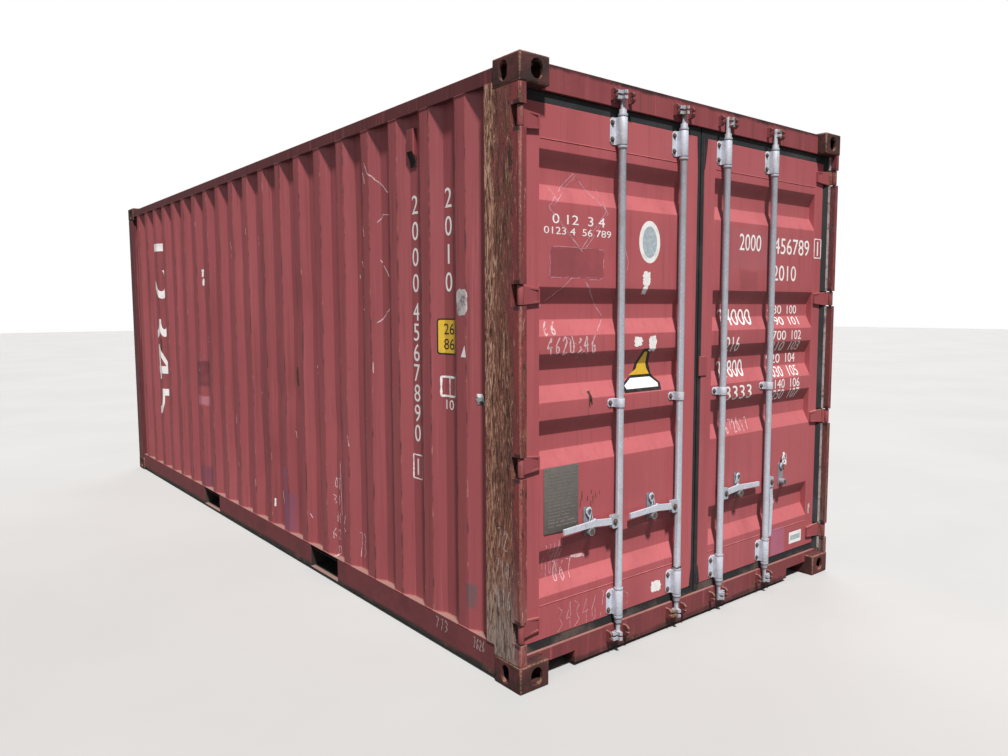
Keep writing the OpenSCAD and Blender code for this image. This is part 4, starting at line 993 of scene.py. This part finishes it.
class CONTAINER_OT_fasteners(bpy.types.Operator):
    """Adds the bolts of the locking gear, the remains of a seal, the rubber corners, the sealant strips,
    which also paint a highlight, and dark discs and grilles, which paint shade in the handle rests and
    ventilators
    """
    bl_idname = "container.fasteners"
    bl_label = "Fasteners"

    def execute(self, context):
        rnd = random.Random(3)
        for sx in (-1, 1):
            bm = bmesh.new()
            for x in [b for b in BARS if b * sx > 0]:
                rest = x + sx * REST_X
                spots = [(x + dx, z + dz, 0.0085, 0.007) for z in GUIDE_Z
                         for dx in (-0.041, 0.041) for dz in (-0.036, 0.036)]
                spots += [(x + dx, BEARING_Z, 0.0085, 0.007) for dx in (-0.040, 0.040)]
                spots += [(rest, z, 0.006, 0.005) for z in REST_Z]
                for a, z, r, h in spots:
                    add_bolt(bm, (a, DOOR_FACE - 0.004, z), r, h, rnd.uniform(0, 1))
                # Dark discs on the handle rests: dark steel, and painted shade in the rests' holes
                for y, z, r, sides in ((0.0288, 0.6067, 0.0135, 24), (0.0455, 0.6967, 0.0085, 20)):
                    base = Matrix.Translation((rest, END + y, z)) @ Matrix.Rotation(math.pi / 2, 4, "X")
                    add_disc(bm, base, 0.0, 0.0012, r, r, sides)
            piece("guide_bolts_" + side_of(sx), bm, "bolt", "door_" + side_of(sx), "locking_gear", 30)
        for n, x in enumerate(BARS, 1):
            bm = bmesh.new()
            for s in (-1, 1):
                at = (x + math.copysign(0.036, x), BAR_Y + s * 0.0105, FORK_Z)
                add_bolt(bm, at, 0.010, 0.007, n, (0, s, 0))
            if n == 2:
                for z, r in ((0.314, 0.0195), (0.319, 0.0205)):
                    ring = [(x + r * math.cos(a), BAR_Y + r * math.sin(a), z + 0.004 * math.sin(3 * a))
                            for a in angles(24) + [2 * math.pi]]
                    add_bead(bm, ring, 0.0016, n)
            piece(f"fork_bolts_{n}", bm, "bolt", f"locking_bar_{n}", "locking_gear", 30)
        bm = bmesh.new()
        wire = [(0.790 + 0.020 * math.cos(a), -2.983 - 0.003 * math.sin(2 * a),
                 0.735 + 0.030 * math.sin(a)) for a in angles(18) + [2 * math.pi]]
        add_bead(bm, wire, 0.0018, 3)
        add_box(bm, 0.772, 0.786, -2.987, -2.983, 0.742, 0.776, 0.001)
        add_box(bm, 0.800, 0.810, -2.986, -2.982, 0.700, 0.722, 0.001)
        piece("seal_remains", bm, "paper", "flap_4", "locking_gear", 30)
        edge = 0.0265
        for sx, top, low in ((-1, 0.009, 0.014), (1, 0.021, 0.016)):
            bm = bmesh.new()
            for z, dz, w in ((DOOR_TOP, -0.15, top), (DOOR_LOW, 0.10, low)):
                corner = [(edge, z), (edge + w, z), (edge + w * 0.75, z + dz * 0.35), (edge, z + dz)]
                add_prism(bm, corner, sx, DOOR_FACE - 0.0025, DOOR_FACE + 0.001)
            piece("gasket_corners_" + side_of(sx), bm, "rubber", "door_" + side_of(sx), "seals", 30)
        # Dark grille in each ventilator's mouth, with rivets: a near-black sheet that also paints the shade
        # inside the hood
        mouth = [(1.179, 2.268), (1.176, 2.268), (1.178, 2.291), (1.1945, 2.338), (1.1745, 2.338),
                 (1.1735, 2.291)]
        bm = bmesh.new()
        for sx in (-1, 1):
            add_prism(bm, mouth, sx, VENT_Y - 0.0222, VENT_Y + 0.0222)
            for dy, z in ((-0.012, 2.281), (0.004, 2.277), (0.012, 2.286)):
                add_rivet(bm, (sx * 1.178, VENT_Y + dy, z), (sx, 0, 0), 0.003)
        piece("ventilator_grilles_and_shade", bm, "mouth", "container", "frame_paint", 30)
        # Pale strips on the posts' returns beside the gaskets: old sealant, lighter also as a painted
        # highlight along the edge
        bm = bmesh.new()
        marks = [0.140] + [z for h in HINGES for z in (h - 0.046, h + 0.046)] + [2.468]
        for sx in (-1, 1):
            x = sx * (HALF - 0.0385)
            for z0, z1 in zip(marks[::2], marks[1::2]):
                add_box(bm, x - 0.0009, x + 0.0009, END + 0.036, END + 0.0485, z0, z1)
        piece("sealant", bm, "seal", "container", "frame_paint", 30)
        return {"FINISHED"}


# Drawings on the left door, as x and z in millimetres
LABEL_EDGE = outline(-530, 1206, -275, 1206, -266, 1240, -318, 1285,
                     -362, 1408, -408, 1408, -452, 1285, -540, 1240)
LABEL_TOP = outline(-474, 1284, -330, 1284, -350, 1312, -376, 1392, -394, 1392, -424, 1312)
LABEL_LOW = outline(-512, 1222, -290, 1222, -284, 1238, -326, 1270, -462, 1270, -520, 1238)
DIAMOND = outline(-838, 2174, -1013, 2016, -822, 1849, -665, 2022, -838, 2174)
DOOR_SCRATCHES = [outline(*line) for line in (
    (-805, 1724, -647, 1555, -841, 1379), (-795, 1720, -690, 1722), (-800, 1712, -655, 1560),
    (-873, 1728, -1051, 1590), (-700, 2120, -665, 2020), (-901, 1472, -825, 1430, -764, 1381),
    (-985, 2100, -955, 2040), (-560, 1930, -520, 1800, -540, 1730))]

# Plain numbers on the right door: text and box; heights of the rows of smaller ones
DOOR_NUMBERS = (
    ("2000", 0.334, 0.533, 1.897, 1.984), ("456789", 0.655, 1.015, 1.892, 1.980),
    ("1", 1.092, 1.122, 1.897, 1.979), ("2010", 0.650, 0.882, 1.745, 1.830),
    ("24000", 0.200, 0.492, 1.505, 1.590), ("216", 0.235, 0.360, 1.366, 1.445),
    ("21800", 0.200, 0.434, 1.230, 1.320), ("3333", 0.240, 0.474, 1.110, 1.185))
WEIGHT_ROWS = ((1.562, 1.610), (1.500, 1.545), (1.416, 1.468), (1.354, 1.406),
               (1.284, 1.336), (1.208, 1.265), (1.142, 1.194), (1.078, 1.136))


class CONTAINER_OT_labels(bpy.types.Operator):
    """Adds the data plate, the blank stickers, plain numbers and chalk lines of the doors"""
    bl_idname = "container.labels"
    bl_label = "Door labels"

    def execute(self, context):
        rnd = random.Random(11)
        left, right = ("door", -1), ("door", 1)
        lay("oval_sticker", left, flat([oval(-0.375, 1.9025, 0.073, 0.0975)]), "paper")
        lay("oval_middle", left, flat([oval(-0.375, 1.9025, 0.050, 0.073)]), "pale", UPPER)
        lay("corner_label_border", left, flat([LABEL_EDGE]), "black")
        lay("corner_label", left, flat([LABEL_TOP], [LABEL_LOW]), "yellow paper", UPPER)
        scraps = ((-0.430, -0.362, 1.692, 1.775), (-0.480, -0.410, 1.412, 1.470),
                  (-0.378, -0.312, 1.382, 1.477), (-0.350, -0.250, 0.200, 0.275),
                  (-0.425, -0.385, 1.655, 1.705, 4))
        lay("torn_stickers", left, flat([torn(rnd, *scrap) for scrap in scraps]), "paper")
        lay("white_sticker", right, flat([rect(0.892, 1.022, 0.212, 0.280)]), "paper")
        lay("white_sticker_middle", right, flat([rect(0.905, 1.009, 0.232, 0.260)]), "pale", UPPER)

        rows = list(DOOR_NUMBERS)
        for i, (z0, z1) in enumerate(WEIGHT_ROWS):
            rows += [(str(480 + 110 * i), 0.662, 0.800, z0, z1), (str(100 + i), 0.858, 0.955, z0, z1)]
        lay("door_numbers", right, numbers(rows), "ink")
        box = loop(1.071, 1.143, 1.885, 1.993)
        scribble("digit_frame", right, "ink", rnd, lines=[(box, 0.006, 0.0004)])
        small = (("0 12  3 4", -0.989, -0.676, 1.950, 1.990),
                 ("0123 4  56 789", -1.037, -0.636, 1.906, 1.936))
        lay("small_numbers", left, numbers(small), "ink")

        scratches = [([(a + shift, z - shift) for a, z in DIAMOND], 0.0032, 0.003, 0.12)
                     for shift in (0.0, 0.011)]
        scratches.append((loop(-1.003, -0.681, 1.727, 1.854), 0.0026, 0.003, 0.2))
        scratches += [(pts, 0.0034, 0.0025, 0.1) for pts in DOOR_SCRATCHES]
        scribble("scratches_left", left, "scratch", rnd, lines=scratches)
        scribble("chalk_left", left, "chalk", rnd, (
            (-1.037, -0.952, 1.484, 1.538, 2, 0.0070), (-1.023, -0.717, 1.401, 1.476, 7, 0.0070),
            (-0.963, -0.834, 0.401, 0.486, 3, 0.0032)), [([(-0.842, 0.492), (-0.756, 0.480)], 0.012)])
        scribble("faint_chalk_left", left, "scratch", rnd, (
            (-1.029, -0.911, 0.430, 0.588, 5, 0.0030), (-0.962, -0.655, 0.180, 0.300, 6, 0.0035)),
            [([(-0.56, 0.28), (-0.50, 0.25), (-0.51, 0.20), (-0.55, 0.21)], 0.003)])
        scribble("chalk_right", right, "chalk", rnd, [(0.262, 0.481, 0.932, 1.001, 6, 0.0045)])
        lay("smear_right", right, flat([torn(rnd, 1.080, 1.112, 0.345, 0.449, 5, 0.4)]), "seal")
        bm = bmesh.new()
        for x, z in [(rnd.uniform(-0.83, -0.69), rnd.uniform(0.73, 0.79)) for _ in range(9)]:
            end = (x + rnd.uniform(-0.004, 0.004), z - rnd.uniform(0.01, 0.045))
            add_line(bm, rnd, [(x, z), end], 0.004, 0.0004)
        for x, z, w in ((-0.76, 1.20, 0.016), (-0.755, 1.19, 0.010), (-0.765, 1.18, 0.008)):
            add_line(bm, rnd, [(x, z + 0.03), (x + 0.004, z - 0.02)], w)
        lay("rust_runs", left, bm, "stain")

        bm = bmesh.new()
        x0, x1, z0, z1 = -1.037, -0.834, 0.632, 0.920
        add_box(bm, x0, x1, DOOR_FACE - 0.0035, DOOR_FACE - 0.0005, z0, z1, 0.001)
        for x in (x0 + 0.010, x1 - 0.010):
            for z in (z0 + 0.010, (z0 + z1) / 2, z1 - 0.010):
                add_rivet(bm, (x, DOOR_FACE - 0.0035, z), (0, -1, 0), 0.004)
        for i in range(17):
            x, z, tall = x0 + 0.022, z1 - 0.030 - i * 0.0145, 0.006 if i % 5 else 0.009
            while x < x1 - 0.045:
                w = rnd.uniform(0.012, 0.045)
                add_box(bm, x, x + w, DOOR_FACE - 0.0040, DOOR_FACE - 0.0032, z, z + tall, 0.0, 1)
                x += w + rnd.uniform(0.005, 0.014)
        piece("data_plate", bm, "plate relief", "door_left", "door_paint", 30)
        return {"FINISHED"}


# Marks on the left wall, as y and z in millimetres
WALL_SCRATCHES = [outline(*line) for line in (
    (-1768, 2343, -1800, 2290, -1949, 2178), (-1705, 2130, -1753, 1972),
    (-1994, 2060, -1900, 2075, -1860, 2039), (-1870, 1846, -1951, 1759),
    (-1667, 1663, -1748, 1592), (-2012, 1633, -1940, 1590, -1847, 1524),
    (-1750, 2300, -1770, 2240), (-1690, 2180, -1720, 2120), (-1640, 1870, -1680, 1800),
    (-600, 1000, -610, 930), (-1360, 720, -1370, 400), (-1100, 860, -1120, 800))]

# Chalk digits on the left wall's frame, in metres: box, count and line width
FRAME_CHALK = {
    "door_post_left": (
        (-2.868, -2.950, 0.590, 0.680, 2, 0.0042), (-2.858, -2.958, 0.470, 0.548, 3, 0.0042),
        (-2.862, -2.968, 0.340, 0.425, 3, 0.0042)),
    "bottom_rail_left": (
        (-2.690, -2.776, 0.092, 0.142, 4, 0.0042), (-2.385, -2.500, 0.086, 0.142, 3, 0.0042)),
}


class CONTAINER_OT_markings(bpy.types.Operator):
    """Adds the plain numbers, labels and scratches of the side walls"""
    bl_idname = "container.markings"
    bl_label = "Wall markings"

    def execute(self, context):
        rnd = random.Random(5)
        for sx in (-1, 1):
            key, flip, side = ("wall", sx), sx < 0, side_of(sx)
            rows = []
            for i in range(4):
                rows.append(("2000"[i], -2.223, -2.171, 2.047 - i * 0.1235, 2.135 - i * 0.1235))
                rows.append(("2010"[i], -2.501, -2.449, 2.050 - i * 0.1255, 2.138 - i * 0.1255))
            rows += [(c, -2.223, -2.171, 1.541 - i * 0.0985, 1.625 - i * 0.0985)
                     for i, c in enumerate("4567890")]
            rows += [("1", -2.205, -2.187, 0.785, 0.865), ("10", -2.505, -2.445, 1.135, 1.180),
                     ("12345", 1.985, 2.255, 0.640, 2.195, "turned")]
            lay("wall_numbers_" + side, key, numbers(rows, flip), "ink")
            scribble("number_frames_" + side, key, "ink", rnd, lines=(
                (loop(-2.236, -2.158, 0.766, 0.884), 0.006, 0.0004),
                (loop(-2.530, -2.420, 1.197, 1.285), 0.009, 0.0004),
                ([(-2.475, 1.200), (-2.475, 1.282)], 0.006, 0.0004)))
            border = rect(-2.548, -2.402, 1.388, 1.553, 0.014)
            label = rect(-2.541, -2.409, 1.395, 1.546, 0.009)
            lay("height_border_" + side, key, flat([border]), "black")
            lay("height_label_" + side, key, flat([label]), "yellow", UPPER)
            rows = ("26", -2.515, -2.435, 1.480, 1.530), ("86", -2.515, -2.435, 1.411, 1.461)
            lay("height_number_" + side, key, numbers(rows, flip), "black", TOP)

        key = ("wall", -1)
        lines = list(WALL_SCRATCHES)
        for _ in range(26):
            y, z = rnd.uniform(-1.9, 2.6), rnd.uniform(0.3, 2.2)
            lines.append([(y, z), (y + rnd.uniform(-0.02, 0.02), z - rnd.uniform(0.02, 0.09))])
        scribble("scratches_wall", key, "chalk", rnd, lines=[(pts, 0.0055, 0.003, 0.10) for pts in lines])
        bm = bmesh.new()
        for i in range(5):
            at = 0.16 + 0.10 * i
            add_scrawl(bm, rnd, -1.30 + rnd.uniform(-0.03, 0.03), -1.36, at, at + 0.06, 2, 0.004)
        add_scrawl(bm, rnd, -1.58, -1.66, 0.22, 0.36, 2, 0.004)
        add_line(bm, rnd, [(1.090, 1.904), (1.095, 1.784)], 0.030)
        lay("chalk_wall", key, bm, "chalk")
        lay("grey_patches", key, flat([torn(rnd, -2.662, -2.580, 1.560, 1.690, 6, 0.10)]), "seal")
        lay("wall_scrap", key, flat([((-2.650, 1.385), (-2.612, 1.385), (-2.640, 1.436))]), "paper")
        lay("foil_scrap", key, flat([torn(rnd, -2.752, -2.680, 1.168, 1.238, 4, 0.35)]), "foil", 0.0035)
        # Black and white pieces on the foil: painted shade and painted highlight of its crumples
        folds = [[torn(rnd, *box)] for box in ((-2.742, -2.700, 1.172, 1.204, 4, 0.4),
                                               (-2.738, -2.696, 1.208, 1.234, 4, 0.3))]
        lay("foil_fold_shade_and_highlight", key, flat(*folds), "black paper", 0.0040)
        scars = oval(-0.806, 1.178, 0.019, 0.062), oval(2.10, 1.277, 0.010, 0.070)
        lay("dark_scars", key, flat(scars), "stain")
        flecks = (0.930, 1.915), (0.926, 1.845), (-0.440, 0.335)
        scribble("white_flecks", key, "paper", rnd, lines=[
            ([(y, z), (y + 0.004, z - 0.055)], 0.016) for y, z in flecks])
        for node, words in FRAME_CHALK.items():
            bm = bmesh.new()
            for word in words:
                add_scrawl(bm, rnd, *word)
            face = min(v.co.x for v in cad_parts[node].data.vertices)
            for v in bm.verts:
                v.co = (face - 0.0004, v.co.x, v.co.z)
            for f in bm.faces:
                f.normal_update()
                if f.normal.x > 0:
                    f.normal_flip()
            bmesh.ops.solidify(bm, geom=list(bm.faces), thickness=FILM)
            piece("chalk_" + node, bm, "faint", "container", "frame_paint")
        return {"FINISHED"}


class CONTAINER_OT_welds(bpy.types.Operator):
    """Adds the weld beads where sheets meet rails and posts"""
    bl_idname = "container.welds"
    bl_label = "Welds"

    def execute(self, context):
        bm = bmesh.new()
        line = rounded(wall_line(), 0.006, 2)
        for k, sx in enumerate((-1, 1)):
            for z in (WALL_Z0 + 0.0005, WALL_Z1 - 0.0005):
                add_bead(bm, [(sx * (WALL_FACE - p.y + 0.0006), p.x, z) for p in line], 0.0028, k)
            x = sx * (WALL_FACE - FOLD_DEPTH + 0.001)
            add_bead(bm, [(x, WALL_Y0 + 0.001, z) for z in (0.17, 2.49)], 0.003, 5 + k)
            add_bead(bm, [(x, WALL_Y1 - 0.001, z) for z in (0.17, 2.46)], 0.003, 9 + k)
        piece("wall_welds", bm, "wall", "container", "wall_paint", 60)
        line = rounded(door_line(), 0.006, 2)
        for sx in (-1, 1):
            bm = bmesh.new()
            y = DOOR_FACE + 0.0003
            for x in (DOOR_X0, DOOR_X1):
                add_bead(bm, [(sx * x, y + p.y, p.x) for p in line], 0.0024, x * 9)
            for z in (DOOR_Z0, DOOR_Z1):
                add_bead(bm, [(sx * x, y, z) for x in (DOOR_X0, DOOR_X1)], 0.0026, z)
            side = side_of(sx)
            piece("door_welds_" + side, bm, "door_" + side, "door_" + side, "door_paint", 60)
        return {"FINISHED"}


class CONTAINER_OT_stage(bpy.types.Operator):
    """Sets the pale floor, the soft studio light and the camera of the reference view"""
    bl_idname = "container.stage"
    bl_label = "Stage"

    def execute(self, context):
        _, _, cfg = settings()
        scene = context.scene

        def link(name, data):
            ob = bpy.data.objects.new(name, data)
            scene.collection.objects.link(ob)
            return ob

        bm = bmesh.new()
        bmesh.ops.create_grid(bm, x_segments=1, y_segments=1, size=60.0)
        me = bpy.data.meshes.new("studio_floor")
        bm.to_mesh(me)
        bm.free()
        t = Tree("studio_floor")
        cloud = t.noise(0.5).span(0.3, 0.7)
        lit = t.mix(cloud, (0.115, 0.112, 0.110), (0.125, 0.122, 0.120))
        seen = t.mix(cloud, (0.43, 0.43, 0.43), (0.455, 0.455, 0.453))
        t.color = t.mix(t.value("ShaderNodeLightPath", output="Is Camera Ray"), lit, seen)
        me.materials.append(t.finish(0.9))
        floor = link("studio_floor", me)
        floor.location.z = -0.0005

        scene.world = bpy.data.worlds.new("studio")
        scene.world.use_nodes = True
        tree = scene.world.node_tree
        tree.nodes.clear()
        path = add_node(tree, "ShaderNodeLightPath")
        soft = add_node(tree, "ShaderNodeBackground", {0: (0.93, 0.96, 1.0), 1: cfg.fill})
        white = add_node(tree, "ShaderNodeBackground", {0: (1.0, 1.0, 1.0)})
        both = add_node(tree, "ShaderNodeMixShader", {0: path.outputs["Is Camera Ray"], 1: soft.outputs[0],
                                                      2: white.outputs[0]})
        add_node(tree, "ShaderNodeOutputWorld", {0: both.outputs[0]})

        for name, way, angle, power, color in (
                ("key", (-0.236, -0.483, 0.843), 5.0, cfg.key, (1.0, 0.98, 0.955)),
                ("side", (-0.92, -0.25, 0.30), 60.0, cfg.side, (0.95, 0.97, 1.0)),
                ("rear", (0.66, 0.66, 0.36), 50.0, cfg.rear, (1.0, 1.0, 1.0))):
            sun = bpy.data.lights.new(name, "SUN")
            sun.angle = math.radians(angle)
            sun.energy = power
            sun.color = color
            link(name, sun).rotation_euler = Vector(way).to_track_quat("Z", "Y").to_euler()

        cam = bpy.data.cameras.new("reference_view")
        cam.lens = cfg.lens
        cam.sensor_width = 36.0
        cam.clip_end = 200.0
        scene.camera = link("reference_view", cam)
        place = Matrix.Translation(EYE)
        for angle, axis in ((-YAW, "Z"), (90.0 + PITCH, "X"), (ROLL, "Z")):
            place @= Matrix.Rotation(math.radians(angle), 4, axis)
        scene.camera.matrix_world = place
        scene.view_settings.view_transform = "Standard"
        scene.view_settings.look = "None"
        return {"FINISHED"}


class CONTAINER_PT_panel(bpy.types.Panel):
    """Sidebar panel with the settings and one button for each stage"""
    bl_label = "Container"
    bl_idname = "CONTAINER_PT_panel"
    bl_space_type = "VIEW_3D"
    bl_region_type = "UI"
    bl_category = "Container"

    def draw(self, context):
        for group in settings():
            for prop in group.bl_rna.properties:
                if prop.identifier not in ("rna_type", "name"):
                    self.layout.prop(group, prop.identifier)
        for cls in OPERATORS:
            self.layout.operator(cls.bl_idname)


OPERATORS = (CONTAINER_OT_finishes, CONTAINER_OT_walls, CONTAINER_OT_doors, CONTAINER_OT_fasteners,
             CONTAINER_OT_labels, CONTAINER_OT_markings, CONTAINER_OT_welds, CONTAINER_OT_stage)
GROUPS = (("container_paint", ContainerPaint), ("container_shape", ContainerShape),
          ("container_stage", ContainerStage))


def register():
    for name, cls in GROUPS:
        bpy.utils.register_class(cls)
        setattr(bpy.types.Scene, name, PointerProperty(type=cls))
    for cls in (*OPERATORS, CONTAINER_PT_panel):
        bpy.utils.register_class(cls)


def unregister():
    for cls in (CONTAINER_PT_panel, *reversed(OPERATORS)):
        bpy.utils.unregister_class(cls)
    for name, cls in reversed(GROUPS):
        delattr(bpy.types.Scene, name)
        bpy.utils.unregister_class(cls)


def main():
    register()
    bpy.ops.container.finishes()
    bpy.ops.container.walls()
    bpy.ops.container.doors()
    bpy.ops.container.fasteners()
    bpy.ops.container.labels()
    bpy.ops.container.markings()
    bpy.ops.container.welds()
    bpy.ops.container.stage()


if __name__ == "__main__":
    main()
